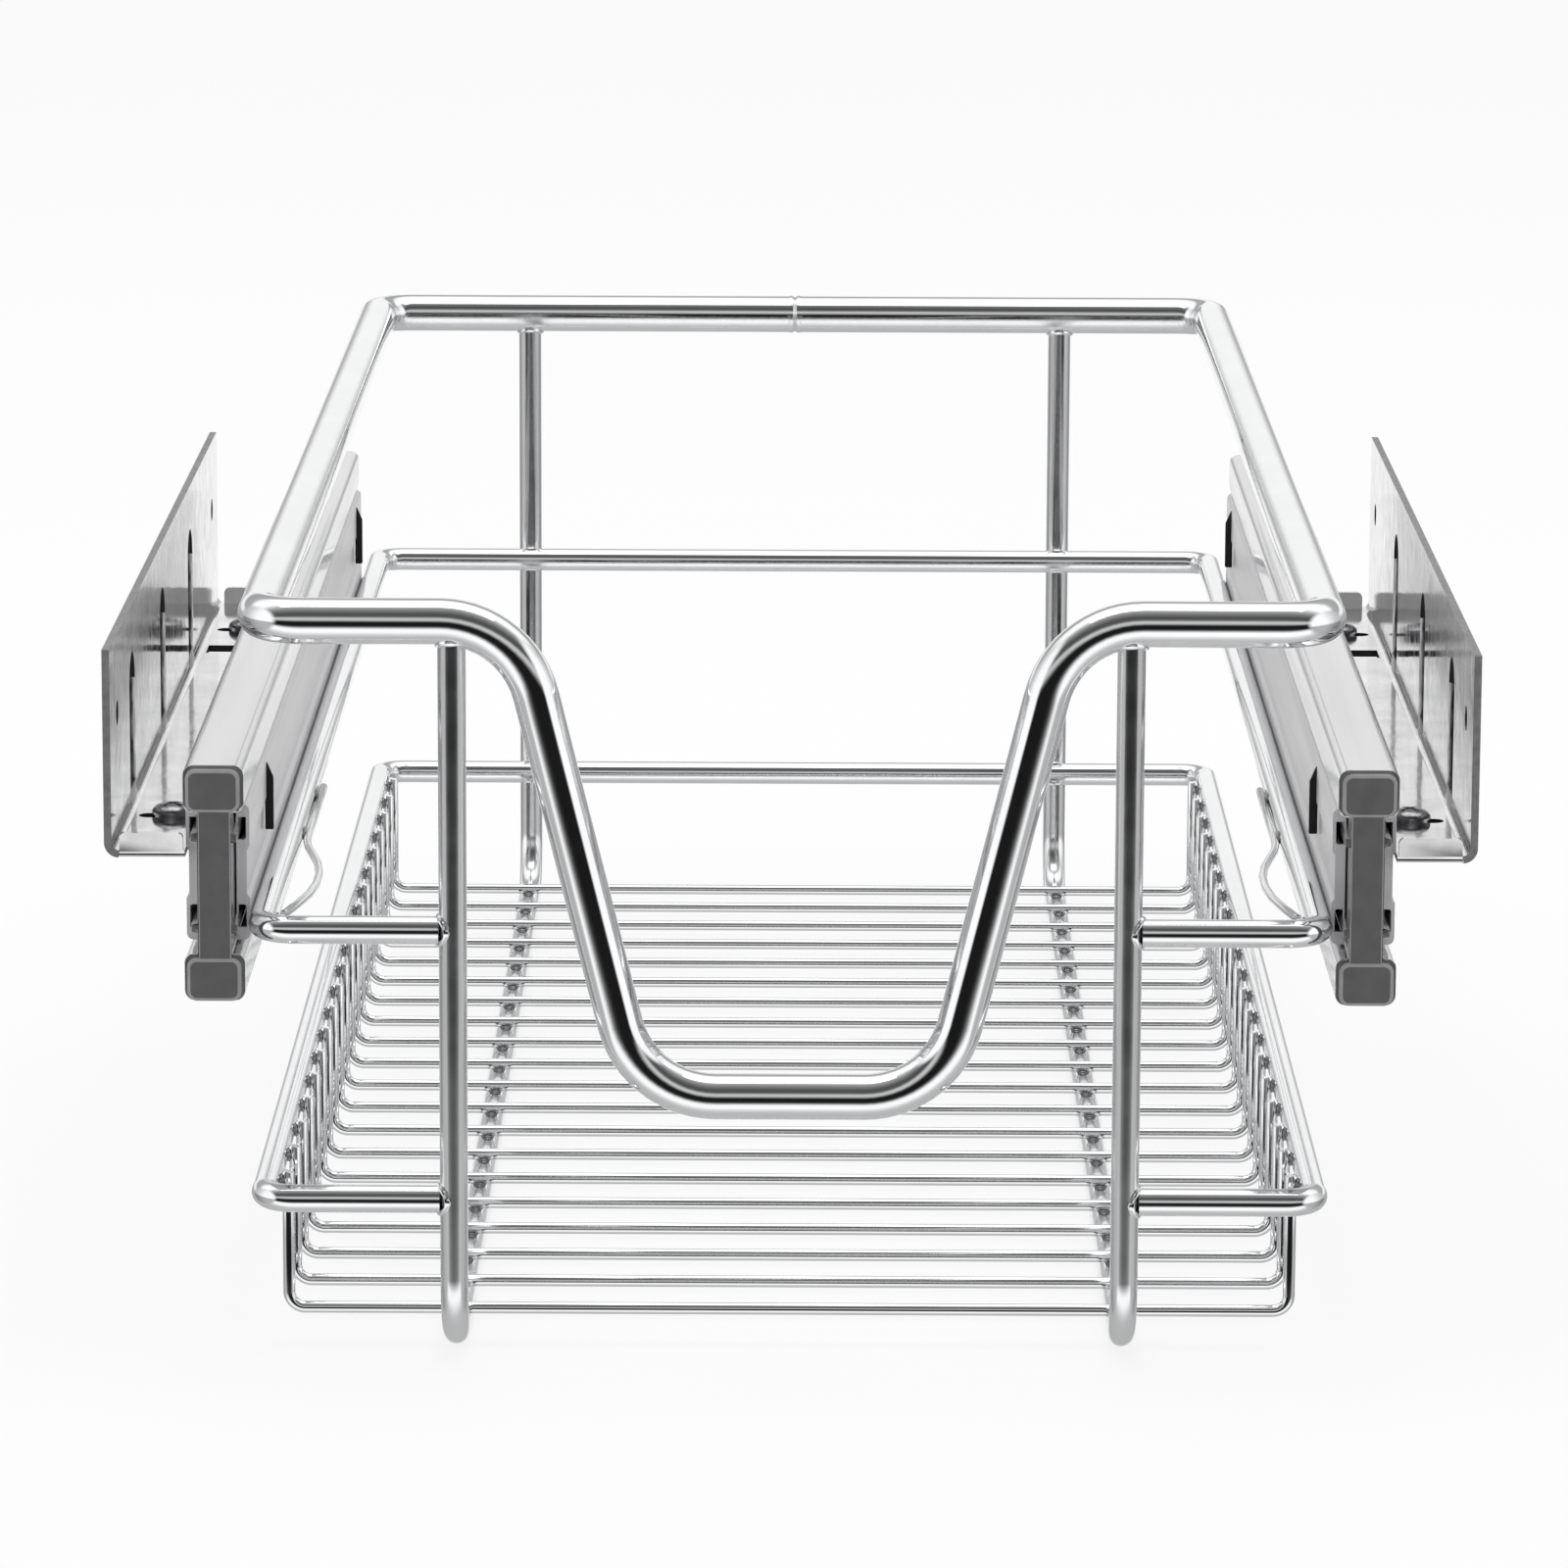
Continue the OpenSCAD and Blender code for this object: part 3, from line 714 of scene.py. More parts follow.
class BASKET_OT_frame_wires(bpy.types.Operator):
    """Makes the handle, the two loops and the two supports as bent wires."""

    bl_idname = "basket.frame_wires"
    bl_label = "Frame wires"

    SEAM_REACH, SEAM_RINGS = 4 * MM, 14

    def execute(self, context):
        sizes = context.scene.basket_sizes
        low, high = node_box("handle_loop")
        r = sizes.handle_wire / 2
        front, rear, top, half = low[1] + r, high[1] - r, high[2] - r, high[0] - r
        self.add_handle(sizes, front, rear, top, half)
        self.add_loops(sizes)
        d = sizes.frame_wire
        low, high = node_box("support_wire_right")
        front, rear, end = low[1] + d / 2, high[1] - d / 2, top - r + MM
        for side, way in SIDES.items():
            x = way * (low[0] + high[0]) / 2
            corners = [(x, front, end), (x, front, d / 2), (x, rear, d / 2), (x, rear, end)]
            wire = wire_shell(corners, [sizes.support_bend] * 2, d, 32)
            wire_piece("support_bar_" + side, wire, "chrome_wire", "soft chrome",
                       "support_wire_" + side)
        return {"FINISHED"}

    def add_handle(self, sizes, front, rear, top, half):
        """The handle's right half with half of the dip, then the same corners mirrored."""
        tangent = sizes.dip_bend * math.tan(sizes.dip_angle / 2)
        bottom_x = sizes.dip_floor / 2 + tangent
        top_x = bottom_x + sizes.dip_depth / math.tan(sizes.dip_angle)
        right = [
            (0, rear, top), (half, rear, top), (half, front, top), (top_x, front, top),
            (bottom_x, front, top - sizes.dip_depth)
        ]
        radii = [sizes.handle_corner] * 2 + [sizes.dip_bend] * 2
        corners = right + [(-x, y, z) for x, y, z in right[::-1]]
        seam = np.linspace(0, self.SEAM_REACH, self.SEAM_RINGS)
        wire = wire_shell(corners, radii + radii[::-1], sizes.handle_wire, 40, closed=True,
                          swell=self.flash, places=[*seam, *-seam[1:]])
        wire_piece("handle_wire", wire, "handle_wire", "chrome", "handle_loop")

    @staticmethod
    def flash(s, total):
        """Swelling at the butt seam: at d mm from it, a ridge 0.16 exp(-((d - 0.9) / 0.5)^2)
        less a groove 0.25 exp(-(d / 0.25)^2), in mm."""
        d = np.minimum(s, total - s) / MM
        return (0.16 * np.exp(-((d - 0.9) / 0.5) ** 2) - 0.25 * np.exp(-(d / 0.25) ** 2)) * MM

    @staticmethod
    def add_loops(sizes):
        """The middle and the rim loop, which end in front at the outer side of the supports."""
        d, end = sizes.frame_wire, node_box("support_wire_right")[1][0]
        for node in ("mid_loop", "rim_loop"):
            low, high = node_box(node)
            half, front, rear = high[0] - d / 2, low[1] + d / 2, high[1] - d / 2
            z = (low[2] + high[2]) / 2
            corners = [(-end, front, z), (-half, front, z), (-half, rear, z), (half, rear, z),
                       (half, front, z), (end, front, z)]
            wire = wire_shell(corners, [sizes.frame_corner] * 4, d, 32)
            wire_piece(node + "_wire", wire, "chrome_wire", "chrome", node)


class BASKET_OT_grid_wires(bpy.types.Operator):
    """Makes the cross wires of the floor, sheared off a little above the rim."""

    bl_idname = "basket.grid_wires"
    bl_label = "Grid wires"

    def execute(self, context):
        sizes = context.scene.basket_sizes
        d = sizes.grid_wire
        for node in sorted(n for n in frame["nodes"] if n.startswith("grid_wire_")):
            low, high = node_box(node)
            x, y, floor, top = high[0] - d / 2, (low[1] + high[1]) / 2, low[2] + d / 2, high[2]
            corners = [(-x, y, top), (-x, y, floor), (x, y, floor), (x, y, top)]
            wire = wire_shell(corners, [sizes.grid_bend] * 2, d, 20, end_round=0.2 * MM,
                              end_tilt=0.3)
            wire_piece(node.replace("grid_wire", "cross_wire"), wire, "chrome_wire", "chrome",
                       node)
        return {"FINISHED"}


class BASKET_OT_clips(bpy.types.Operator):
    """Makes the two bowed spring wires along the middle loop."""

    bl_idname = "basket.clips"
    bl_label = "Spring clips"

    LENGTH, BOW_LENGTH, BOW_RADII = 126 * MM, 66 * MM, (110 * MM, 75 * MM)

    def execute(self, context):
        sizes = context.scene.basket_sizes
        low, high = node_box("wire_clip_right")
        r = sizes.clip_wire / 2
        x, z, y = high[0] - r, (low[2] + high[2]) / 2, high[1] - self.LENGTH
        for side, way in SIDES.items():
            corners = [(way * x, y, z), (way * (x - sizes.clip_bow), y + self.BOW_LENGTH / 2, z),
                       (way * x, y + self.BOW_LENGTH, z), (way * x, high[1], z)]
            wire = wire_shell(corners, self.BOW_RADII, 2 * r, 20, end_round=0.2 * MM)
            wire_piece("spring_clip_" + side, wire, "spring_wire", "spring chrome",
                       "wire_clip_" + side)
        return {"FINISHED"}


def runner_place(side):
    """A function that moves points from the runner's own section, outwards, along and up
    from the middle of its beam, to their place on this side."""
    low, high = node_box("beam_right")
    middle = (low + high) / 2

    def place(points):
        moved = np.array(points, float)
        moved[..., 0] = SIDES[side] * (moved[..., 0] + middle[0])
        moved[..., 2] += middle[2]
        return moved

    return place


def groove_arc(u, v, radius, face):
    """Points of a ball groove in a face at u = face, from its centre (u, v) outside the face:
    centre + r (cos t, sin t), with t between the two angles at which the circle meets it."""
    half = math.acos((face - u) / radius)
    t = np.linspace(TURN - half, half, 9)
    return np.column_stack([u + radius * np.cos(t), v + radius * np.sin(t)])


class BASKET_OT_beams(bpy.types.Operator):
    """Makes the hollow beams of the runners, with ball grooves in each side of the web."""

    bl_idname = "basket.beams"
    bl_label = "Beams"

    GROOVE_CENTRE, END_EDGE = 4.15 * MM, 0.15 * MM

    def execute(self, context):
        sizes = context.scene.basket_sizes
        low, high = node_box("beam_right")
        half, top = (high[0] - low[0]) / 2, (high[2] - low[2]) / 2
        outer, inner = self.outline(sizes, half, top)
        inner = inner - outward(inner) * sizes.beam_sheet
        for side in SIDES:
            run = hollow_run(outer, inner, low[1], high[1], self.END_EDGE, runner_place(side))
            add_piece("beam_profile_" + side, [run], "beam_" + side, "plated_beam",
                      ["beam zinc"], "beam_" + side, sharp=30, flat=True)
        return {"FINISHED"}

    def outline(self, sizes, half, top):
        """The dumb-bell outline with its grooves, and the same points without them. Its first
        quarter is the groove and three corners, the others are its mirror images."""
        web, under = sizes.web / 2, top - sizes.beam_head
        arc = groove_arc(self.GROOVE_CENTRE, sizes.ball_row, sizes.groove, web)[::-1]
        quarter = np.array([(*p, 0) for p in arc] + [
            (web, under, 0.4 * MM), (half, under, 1.8 * MM), (half, top, 2 * MM)
        ])
        corners, radii = quarter[:, :2], quarter[:, 2]
        right = np.concatenate([corners[::-1] * (1, -1), corners])
        whole = np.concatenate([right, -right])
        plain = whole.copy()
        inside = np.abs(plain[:, 0]) < web
        plain[inside, 0] = np.sign(plain[inside, 0]) * web
        radii = np.tile(np.concatenate([radii[::-1], radii]), 2)
        return rounded_outline(whole, radii), rounded_outline(plain, radii)


class BASKET_OT_caps(bpy.types.Operator):
    """Makes the moulded caps: a plate with rounded pads on its head and foot, and plugs that
    go into the beam. Their rounded front edges take a lighter colour, a painted highlight."""

    bl_idname = "basket.caps"
    bl_label = "Beam caps"

    # In millimetres. The web stays out of the way of the basket rail's lips
    WEB_ACROSS, WEB_INSET, WEB_RECESS = (-3.4, 2.9), 3, 0.35
    PAD_HEIGHT, PAD_EDGE, PLUG_HALF, PLUG_INSET = 8.6, 0.7, 4.1, 1.4

    def execute(self, context):
        low, high = node_box("beam_cap_right")
        half, _, top = (high - low) / 2 / MM
        front, joint = low[1], node_box("beam_right")[0][1] - 0.02 * MM
        reach, under = top - self.WEB_INSET, top - self.PAD_HEIGHT
        web = plate(self.WEB_ACROSS, (-reach, reach), 0.3)
        pad = plate((-half, half), (under, top), 2, 9)
        plug = plate((-self.PLUG_HALF, self.PLUG_HALF),
                     (under + self.PLUG_INSET, top - self.PLUG_INSET), 0.8)
        for side in SIDES:
            place = runner_place(side)
            shells = [solid_run(web, front + self.WEB_RECESS * MM, joint, 0.22 * MM, place)]
            for pad_end, plug_end in ((turned_down(pad), turned_down(plug)), (pad, plug)):
                shells.append(solid_run(pad_end, front, joint, self.PAD_EDGE * MM, place))
                shells.append(solid_run(plug_end, joint - MM, high[1], 0.6 * MM, place))
            mesh = add_piece("moulded_cap_" + side, shells, "beam_" + side, "cap_plastic",
                             ["cap plastic", "cap edge"], "beam_cap_" + side, flat=True).data
            # Faces of the rounded front edges get the second, lighter finish: a painted highlight.
            centres, normals = face_values(mesh)
            rounded = (centres[:, 1] < front + 0.75 * MM) & (normals[:, 1] > -0.99)
            mesh.polygons.foreach_set("material_index", rounded.astype(np.int32))
        return {"FINISHED"}


class BASKET_OT_rails(bpy.types.Operator):
    """Makes the lipped rails with their ball tracks, end plates, feet, stop tabs and lugs."""

    bl_idname = "basket.rails"
    bl_label = "Rails"

    # Upper half of the section, outwards and up, with its corner radii, in millimetres
    SECTION = (
        (5.6, 4.2, 0.8), (6.25, 5.2, 0.8), (6.25, 13.6, 1.3), (3.6, 13.6, 0.35),
        (3.6, 12.5, 0.35), (5.15, 12.5, 0.3), (5.15, 11.3, 0.3), (5.5, 11.1, 0.3),
        (5.5, 6.5, 0.5), (4.4, 6.5, 0.3),
    )
    LUG = ((5.95, -1.3), (7.65, -1.3), (7.65, 9.4), (5.95, 13.4))
    LUG_FROM_FRONT, LUG_FROM_REAR = 48 * MM, 20 * MM
    FOOT_HALF, FOOT_LONG, FOOT_HOLE, FOOT_SHEET = 5.6 * MM, 8 * MM, 2.1 * MM, 1.2 * MM

    def execute(self, context):
        self.low, self.high = node_box("basket_rail_right")
        for side in SIDES:
            place = runner_place(side)
            shells = self.member(place) + self.feet(side) + self.stop_tab(place)
            add_piece("lipped_rail_" + side, shells, "cabinet_side", "plated_rail",
                      ["rail zinc"], "cabinet_rail_" + side, sharp=30, flat=True)

            def inner(points, place=place):
                return place(points * np.array([-1, 1, 1]))

            add_piece("carrier_rail_" + side, self.member(inner), "basket", "plated_rail",
                      ["rail zinc"], "basket_rail_" + side, sharp=30, flat=True)
            # The lugs take the near-black painted shade of the slot walls.
            add_piece("rail_lugs_" + side, self.lugs(inner), "basket", "plated_rail",
                      ["slot wall"])
        return {"FINISHED"}

    def member(self, place):
        """The roll-formed section over the rail's length, and the plate across its front end,
        through which the two ball tracks open."""
        y0, y1 = self.low[1], self.high[1]
        upper = np.array(self.SECTION) * MM
        corners = np.concatenate([upper[:, :2] * (1, -1), upper[::-1, :2]])[::-1]
        radii = np.concatenate([upper[:, 2], upper[::-1, 2]])[::-1]
        section = rounded_outline(corners, radii, 4)
        middle = plate((3.55, 5.7), (-6.5, 6.5), 0.25)
        shells = [solid_run(section, y0 + 0.1 * MM, y1, 0.12 * MM, place),
                  solid_run(middle, y0, y0 + 1.2 * MM, 0.2 * MM, place)]
        bar = plate((3.55, 3.95), (6.2, 11.4), 0.12, 3)
        arch = plate((3.6, 5.6), (11.0, 12.7), 0.2, 3)
        for part in (turned_down(bar), turned_down(arch), bar, arch):
            shells.append(solid_run(part, y0 + 0.02 * MM, y0 + 1.1 * MM, 0.1 * MM, place))
        return shells

    def stop_tab(self, place):
        """A tab bent across the rear end between the rail's lobes."""
        y1 = self.high[1]
        tab = plate((-1.5, 5.7), (-4.1, 4.1), 0.9)
        return [solid_run(tab, y1 - 1.2 * MM, y1 - 0.02 * MM, 0.15 * MM, place)]

    def lugs(self, place):
        """Two pointed lugs that stand out of the rail's back."""
        outline = rounded_outline(np.array(self.LUG) * MM, 0.25 * MM)
        centres = self.low[1] + self.LUG_FROM_FRONT, self.high[1] - self.LUG_FROM_REAR
        return [solid_run(outline, y - 0.6 * MM, y + 0.6 * MM, 0.15 * MM, place) for y in centres]

    def feet(self, side):
        """Feet bent out of the waist: a plate whose top and bottom run from its rectangular
        outline to the rim of the screw hole, swept once round the wall. The outline stands at
        half width / max(|cos t|, |sin t| width / length)."""
        shells = []
        screws_low, screws_high = node_box("rail_screws_right")
        top = node_box("bracket_right")[0][2] - 0.02 * MM
        x, r = (screws_low[0] + screws_high[0]) / 2, (screws_high[0] - screws_low[0]) / 2
        t = np.linspace(0, TURN, 48, endpoint=False)
        ring = np.stack([np.cos(t), np.sin(t)], 1)
        across, along = np.maximum(np.abs(ring), 1e-9).T
        reach = np.minimum(self.FOOT_HALF / across, self.FOOT_LONG / along)[:, None]
        outer, hole = ring * reach - (0.6 * MM, 0), ring * self.FOOT_HOLE
        for y in (screws_low[1] + r, screws_high[1] - r):
            rings = np.stack([
                np.column_stack([SIDES[side] * (x + edge[:, 0]), y + edge[:, 1],
                                 np.full(len(edge), top - depth)])
                for edge, depth in ((outer, self.FOOT_SHEET), (outer, 0), (hole, 0),
                                    (hole, self.FOOT_SHEET))
            ])
            shells.append(shell(rings, closed=True))
        return shells


class BASKET_OT_screws(bpy.types.Operator):
    """Makes the dark pan-head screws as surfaces of revolution with a cross recess."""

    bl_idname = "basket.screws"
    bl_label = "Rail screws"

    HEAD, SHANK_R, THREAD, PITCH = 2.6 * MM, 1.9 * MM, 0.1 * MM, 0.7 * MM
    # Shares of the head's radius at which its rings stand, from the rim to the middle
    RINGS = (1, 1, 0.985, 0.95, 0.9, 0.82, 0.72, 0.6, 0.5, 0.42, 0.34, 0.26, 0.18, 0.1, 0.03)

    def execute(self, context):
        low, high = node_box("rail_screws_right")
        x, r, seat = (low[0] + high[0]) / 2, (high[0] - low[0]) / 2, high[2] - self.HEAD
        parts = self.head(r), self.shank(seat - low[2])
        for side, way in SIDES.items():
            shells = [(points + np.array([way * x, y, seat]), faces)
                      for y in (low[1] + r, high[1] - r) for points, faces in parts]
            add_piece("pan_screws_" + side, shells, "cabinet_side", "dark_screw",
                      ["screw black"], "rail_screws_" + side)
        return {"FINISHED"}

    def head(self, r):
        """Ring radius s, height h (0.3 + 0.7 sqrt(1 - (s / r)^2.6)) over a rim, less the depth
        of the cross within its arms' half width and its reach."""
        a = np.linspace(0, TURN, 48, endpoint=False)[None]
        s = r * np.array(self.RINGS)[:, None]
        z = self.HEAD * (0.3 + 0.7 * np.maximum(1 - (s / r) ** 2.6, 0) ** 0.5)
        z[0] = 0
        px, py = s * np.cos(a), s * np.sin(a)
        near = np.minimum(np.abs(px + py), np.abs(px - py)) / math.sqrt(2)
        arm = np.clip((0.5 * MM - near) / (0.22 * MM), 0, 1)
        depth = arm * np.clip((0.62 * r - np.hypot(px, py)) / (0.2 * r), 0, 1) * 1.1 * MM
        return shell(np.stack([px, py, z + 0 * a - depth], -1))

    def shank(self, length):
        """Ring radius R + d sin(2 pi z / pitch) down to a blunt point, from inside the head."""
        a = np.linspace(0, TURN, 24, endpoint=False)[None]
        down = np.linspace(0, length, 40)[:, None]
        wave = self.SHANK_R + self.THREAD * np.sin(down / self.PITCH * TURN)
        wave[-1], wave[-2] = 1.2 * MM, 1.6 * MM
        return shell(np.stack([wave * np.cos(a), wave * np.sin(a),
                               -down + 0 * a + (down == 0) * 0.3 * MM], -1))


class BASKET_OT_brackets(bpy.types.Operator):
    """Makes the side brackets with rounded sheet edges, bare cut faces, slot walls in near-black
    painted shade, a slot across the shelf and lips that are bent up and lean out."""

    bl_idname = "basket.brackets"
    bl_label = "Brackets"

    BEND = 3 * MM
    SLOT_X = 0.915, 0.996
    SLOT_FROM_REAR = 64 * MM, 54.7 * MM
    LIP_ROUNDING = 1.3 * MM

    def execute(self, context):
        sizes = context.scene.basket_sizes
        for side in SIDES:
            mesh = frame["nodes"]["bracket_" + side].data.copy()
            mesh.name = "sheet_bracket_" + side
            low, high = node_box("bracket_" + side)
            self.prepare(mesh, low, high, SIDES[side])
            self.lean_lips(mesh, low, high, math.tan(sizes.lip_lean))
            piece = link_piece(mesh.name, mesh, 35)
            bevel = piece.modifiers.new("rounded edges", "BEVEL")
            bevel.width, bevel.segments, bevel.limit_method = sizes.sheet_edge, 2, "ANGLE"
            bevel.angle_limit = math.radians(40)
            flatten_faces(piece)
            finish_piece(piece, "cabinet_side", "bracket_sheet",
                         ["bracket zinc", "sheared edge", "slot wall", "lip zinc"],
                         "bracket_" + side)
            self.mark_cut_faces(mesh, low, high)
        return {"FINISHED"}

    def prepare(self, mesh, low, high, way):
        """Merges the loose triangles of the copy, opens the shelf, cuts the sheet where its
        lips meet the flange, joins what is flat, and rounds the bend under each lip."""
        work = bmesh.new()
        work.from_mesh(mesh)
        bmesh.ops.remove_doubles(work, verts=work.verts, dist=2e-6)
        border = way * (max(abs(low[0]), abs(high[0])) - self.BEND)
        self.open_shelf(work, low[2], border, *(high[1] - y for y in self.SLOT_FROM_REAR))
        self.cut(work, border, 0)
        for face in work.faces:
            face.material_index = int(abs(face.calc_center_median().x) > abs(border))
        bmesh.ops.dissolve_limit(work, angle_limit=math.radians(1), verts=work.verts,
                                 edges=work.edges, delimit={"MATERIAL"})
        under = [
            edge for edge in work.edges
            if all(abs(v.co.z - low[2]) < 1e-5 and abs(v.co.x) < abs(border) + 1e-5
                   and min(abs(v.co.y - low[1]), abs(v.co.y - high[1])) < 1e-5
                   for v in edge.verts)
            and abs(edge.verts[0].co.x - edge.verts[1].co.x) > 4 * MM
        ]
        bmesh.ops.bevel(work, geom=under, offset=self.LIP_ROUNDING, segments=5, profile=0.5,
                        affect="EDGES", clamp_overlap=True)
        work.to_mesh(mesh)
        work.free()

    @staticmethod
    def cut(work, where, axis):
        """Cuts all faces at this place on the axis."""
        normal = (1 - axis, axis, 0)
        bmesh.ops.bisect_plane(
            work, geom=work.verts[:] + work.edges[:] + work.faces[:], dist=1e-7,
            plane_co=[where * n for n in normal], plane_no=normal
        )

    def open_shelf(self, work, floor, border, y0, y1):
        """Cuts a slot across the shelf from y0 to y1: four cuts bound it, its faces go, and the
        rims that they leave are joined by walls."""
        x0, x1 = sorted(border * share for share in self.SLOT_X)
        for where, axis in ((x0, 0), (x1, 0), (y0, 1), (y1, 1)):
            self.cut(work, where, axis)
        inside = []
        for face in work.faces:
            x, y, z = face.calc_center_median()
            if x0 < x < x1 and y0 < y < y1 and z < floor + 2 * MM:
                inside.append(face)
        bmesh.ops.delete(work, geom=inside, context="FACES")
        rim = [edge for edge in work.edges if edge.is_boundary]
        bmesh.ops.bridge_loops(work, edges=rim)
        bmesh.ops.recalc_face_normals(work, faces=work.faces)

    @staticmethod
    def lean_lips(mesh, low, high, lean):
        """Above the shelf, the points of a lip move out by tan(lean) z."""
        points = np.empty(len(mesh.vertices) * 3, np.float32)
        mesh.vertices.foreach_get("co", points)
        points = points.reshape(-1, 3)
        outside = max(abs(low[0]), abs(high[0]))
        rise = np.clip(points[:, 2] - low[2] - 1.55 * MM, 0, None) * lean
        rise *= np.abs(points[:, 0]) < outside - 2.95 * MM
        front, rear = points[:, 1] < low[1] + 1.6 * MM, points[:, 1] > high[1] - 1.6 * MM
        points[:, 1] += rise * (rear * 1.0 - front * 1.0)
        mesh.vertices.foreach_set("co", points.ravel())

    def mark_cut_faces(self, mesh, low, high):
        """Second finish on the sheared ends and top, third, a near-black painted shade, on the
        walls of slots and holes, fourth on the rear lip. The sheet is 1.5 mm thick, so a cut
        face's centre is 0.75 mm in."""
        centres, normals = face_values(mesh)
        outside = max(abs(low[0]), abs(high[0]))
        x, y, z = np.abs(centres[:, 0]), centres[:, 1], centres[:, 2]
        in_flange = (np.abs(x - outside + 0.75 * MM) < 0.3 * MM) & (np.abs(normals[:, 0]) < 0.5)
        in_shelf = (np.abs(z - low[2] - 0.75 * MM) < 0.3 * MM) & (np.abs(normals[:, 2]) < 0.5)
        at_end = np.minimum(y - low[1], high[1] - y) < 0.2 * MM
        at_top = z > high[2] - 0.2 * MM
        within = x < outside - self.BEND
        central = np.abs(y - (low[1] + high[1]) / 2) < 30 * MM
        # Faces within the sheet's thickness get the near-black painted shade of slot walls.
        index = np.where(in_flange | in_shelf, 2, 0)
        index[at_top | (at_end & ~within)] = 1
        index[in_shelf & (np.abs(normals[:, 0]) > 0.9) & central] = 1
        index[(y > high[1] - 3 * MM) & (z > low[2] + 2 * MM) & within] = 3
        mesh.polygons.foreach_set("material_index", index.astype(np.int32))


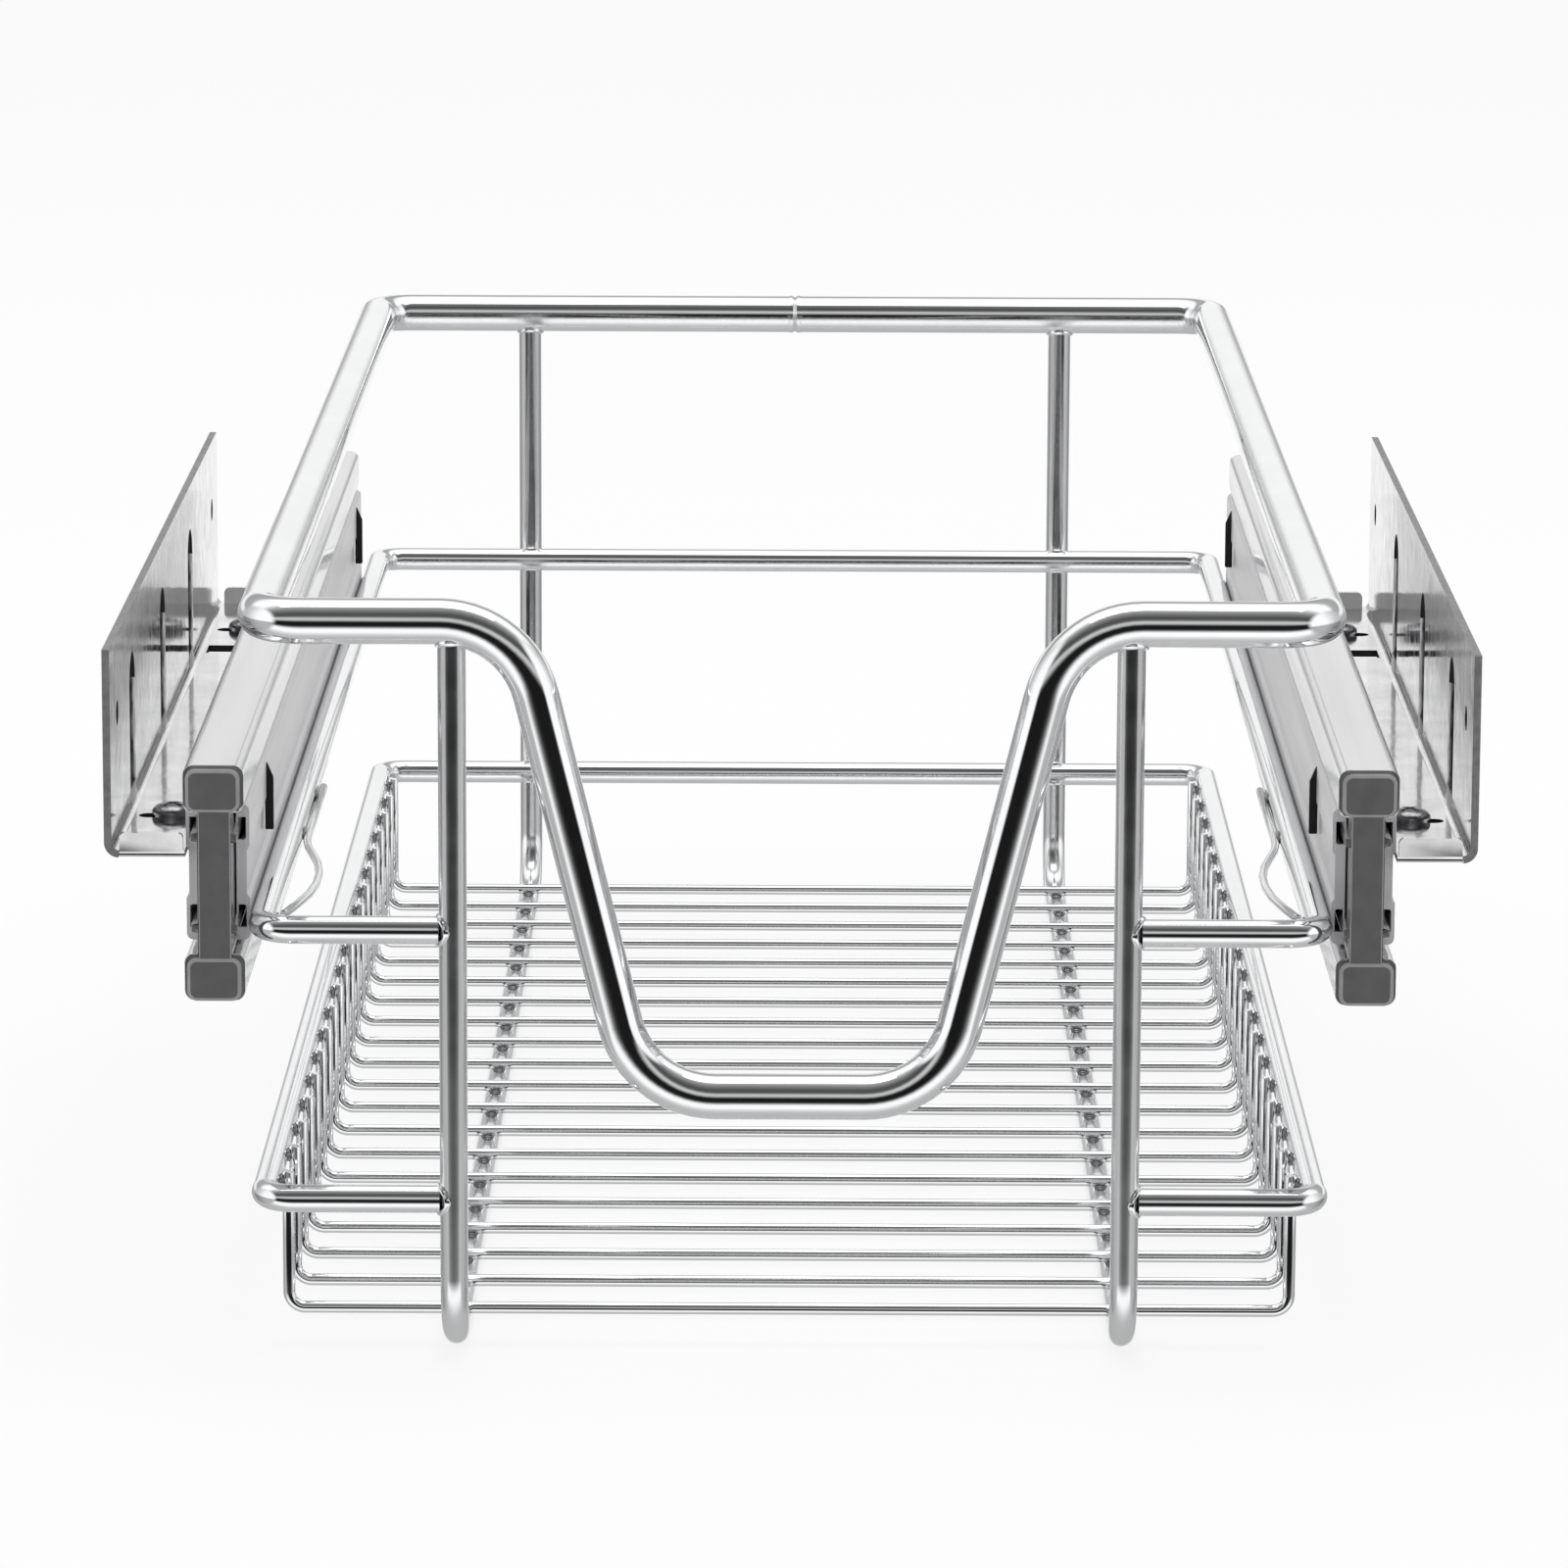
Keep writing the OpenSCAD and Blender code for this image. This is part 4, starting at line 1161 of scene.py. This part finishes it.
class BASKET_OT_welds(bpy.types.Operator):
    """Makes the weld beads and nuggets at which the wires meet."""

    bl_idname = "basket.welds"
    bl_label = "Welds"

    CLIP_WELDS_FROM_REAR = 8 * MM, 48 * MM
    RAIL_WELDS, RAIL_WELD_INSET = 5, 30 * MM

    def execute(self, context):
        sizes = context.scene.basket_sizes
        self.bar_low, self.bar_high = node_box("support_wire_right")
        self.mid_low, self.mid_high = node_box("mid_loop")
        rim_low, rim_high = node_box("rim_loop")
        self.x = (self.bar_low[0] + self.bar_high[0]) / 2
        self.loops = (self.mid_low[2] + self.mid_high[2]) / 2, (rim_low[2] + rim_high[2]) / 2
        add_piece("weld_beads", self.beads(sizes), "basket", "chrome_wire", ["chrome"])
        # The nuggets take chrome darkened to 0.3, a painted shade where the wires meet.
        add_piece("weld_nuggets", self.nuggets(sizes), "basket", "chrome_wire", ["weld chrome"])
        return {"FINISHED"}

    def beads(self, sizes):
        """Beads at the supports' ends under the handle, and at the loops' ends in front."""
        big, small, thick = sizes.handle_wire / 2, sizes.frame_wire / 2, sizes.weld / 2
        front, rear = self.bar_low[1] + small, self.bar_high[1] - small
        top = node_box("handle_loop")[1][2] - big
        shells = []
        for way in (-1, 1):
            for y in (front, rear):
                shells.append(bead((way * self.x, y, top), (0, 0, -1), big, small, thick))
            for z in self.loops:
                shells.append(bead((way * self.x, front, z), (way, 0, 0), small, small, thick))
        return shells

    def nuggets(self, sizes):
        """Nuggets of these radii in mm: of the cross wires on the supports and the rim, of the
        loops on the supports behind, of the clips, and of the basket rails."""
        grid = [node_box(n) for n in sorted(frame["nodes"]) if n.startswith("grid_wire_")]
        along = np.array([(low[1] + high[1]) / 2 for low, high in grid])
        ends = grid[0][1][0]
        floor = self.bar_low[2] + sizes.frame_wire
        mid, rim = self.loops
        clip_high = node_box("wire_clip_right")[1]
        rail_low, rail_high = node_box("basket_rail_right")
        clip_welds = [clip_high[1] - y for y in self.CLIP_WELDS_FROM_REAR]
        rail_welds = np.linspace(rail_low[1] + self.RAIL_WELD_INSET,
                                 rail_high[1] - self.RAIL_WELD_INSET, self.RAIL_WELDS)
        rows = (
            ([(self.x, y, floor) for y in along], (1.5, 1.5, 0.6), 12),
            ([(ends, y, rim) for y in along], (0.6, 1.4, 1.5), 12),
            ([(self.x, self.mid_high[1], z) for z in self.loops], (1.6, 0.6, 1.6), 12),
            ([(clip_high[0] + 0.05 * MM, y, mid) for y in clip_welds], (0.5, 4, 1.3), 12),
            ([(rail_low[0], y, mid) for y in rail_welds], (0.7, 9, 2.2), 20),
        )
        return [
            nuggets([(way * x, y, z) for way in (-1, 1) for x, y, z in places],
                    np.array(radii) * MM, around)
            for places, radii, around in rows
        ]


class BASKET_OT_finish_nodes(bpy.types.Operator):
    """Gives the nodes that stay as they are, the cages and the balls, their finishes."""

    bl_idname = "basket.finish_nodes"
    bl_label = "Finish the rest"

    def execute(self, context):
        for name, node in frame["nodes"].items():
            if not node.hide_render:
                finish = "cage zinc" if "cage" in name else "bearing steel"
                node.data.materials.clear()
                node.data.materials.append(finishes()[finish])
        return {"FINISHED"}


class BASKET_PT_panel(bpy.types.Panel):
    """Lists the settings and the operators in the order in which they run."""

    bl_idname = "BASKET_PT_panel"
    bl_label = "Pull-out basket"
    bl_space_type = "VIEW_3D"
    bl_region_type = "UI"
    bl_category = "Basket"

    def draw(self, context):
        for group in GROUPS:
            settings = getattr(context.scene, group)
            column = self.layout.column()
            for name in settings.__annotations__:
                column.prop(settings, name)
        for maker in MAKERS:
            self.layout.operator(maker.bl_idname)


MAKERS = (
    BASKET_OT_stage, BASKET_OT_frame_wires, BASKET_OT_grid_wires, BASKET_OT_clips,
    BASKET_OT_beams, BASKET_OT_caps, BASKET_OT_rails, BASKET_OT_screws, BASKET_OT_brackets,
    BASKET_OT_welds, BASKET_OT_finish_nodes,
)
GROUPS = {
    "basket_sizes": BasketSizes, "basket_colours": BasketColours, "basket_studio": BasketStudio,
}


def register():
    for cls in (*GROUPS.values(), *MAKERS, BASKET_PT_panel):
        bpy.utils.register_class(cls)
    for name, group in GROUPS.items():
        setattr(bpy.types.Scene, name, PointerProperty(type=group))


def unregister():
    for name in GROUPS:
        delattr(bpy.types.Scene, name)
    for cls in (BASKET_PT_panel, *MAKERS[::-1], *GROUPS.values()):
        bpy.utils.unregister_class(cls)


def main():
    register()
    for maker in MAKERS:
        group, name = maker.bl_idname.split(".")
        getattr(getattr(bpy.ops, group), name)()
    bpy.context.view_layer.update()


if __name__ == "__main__":
    main()
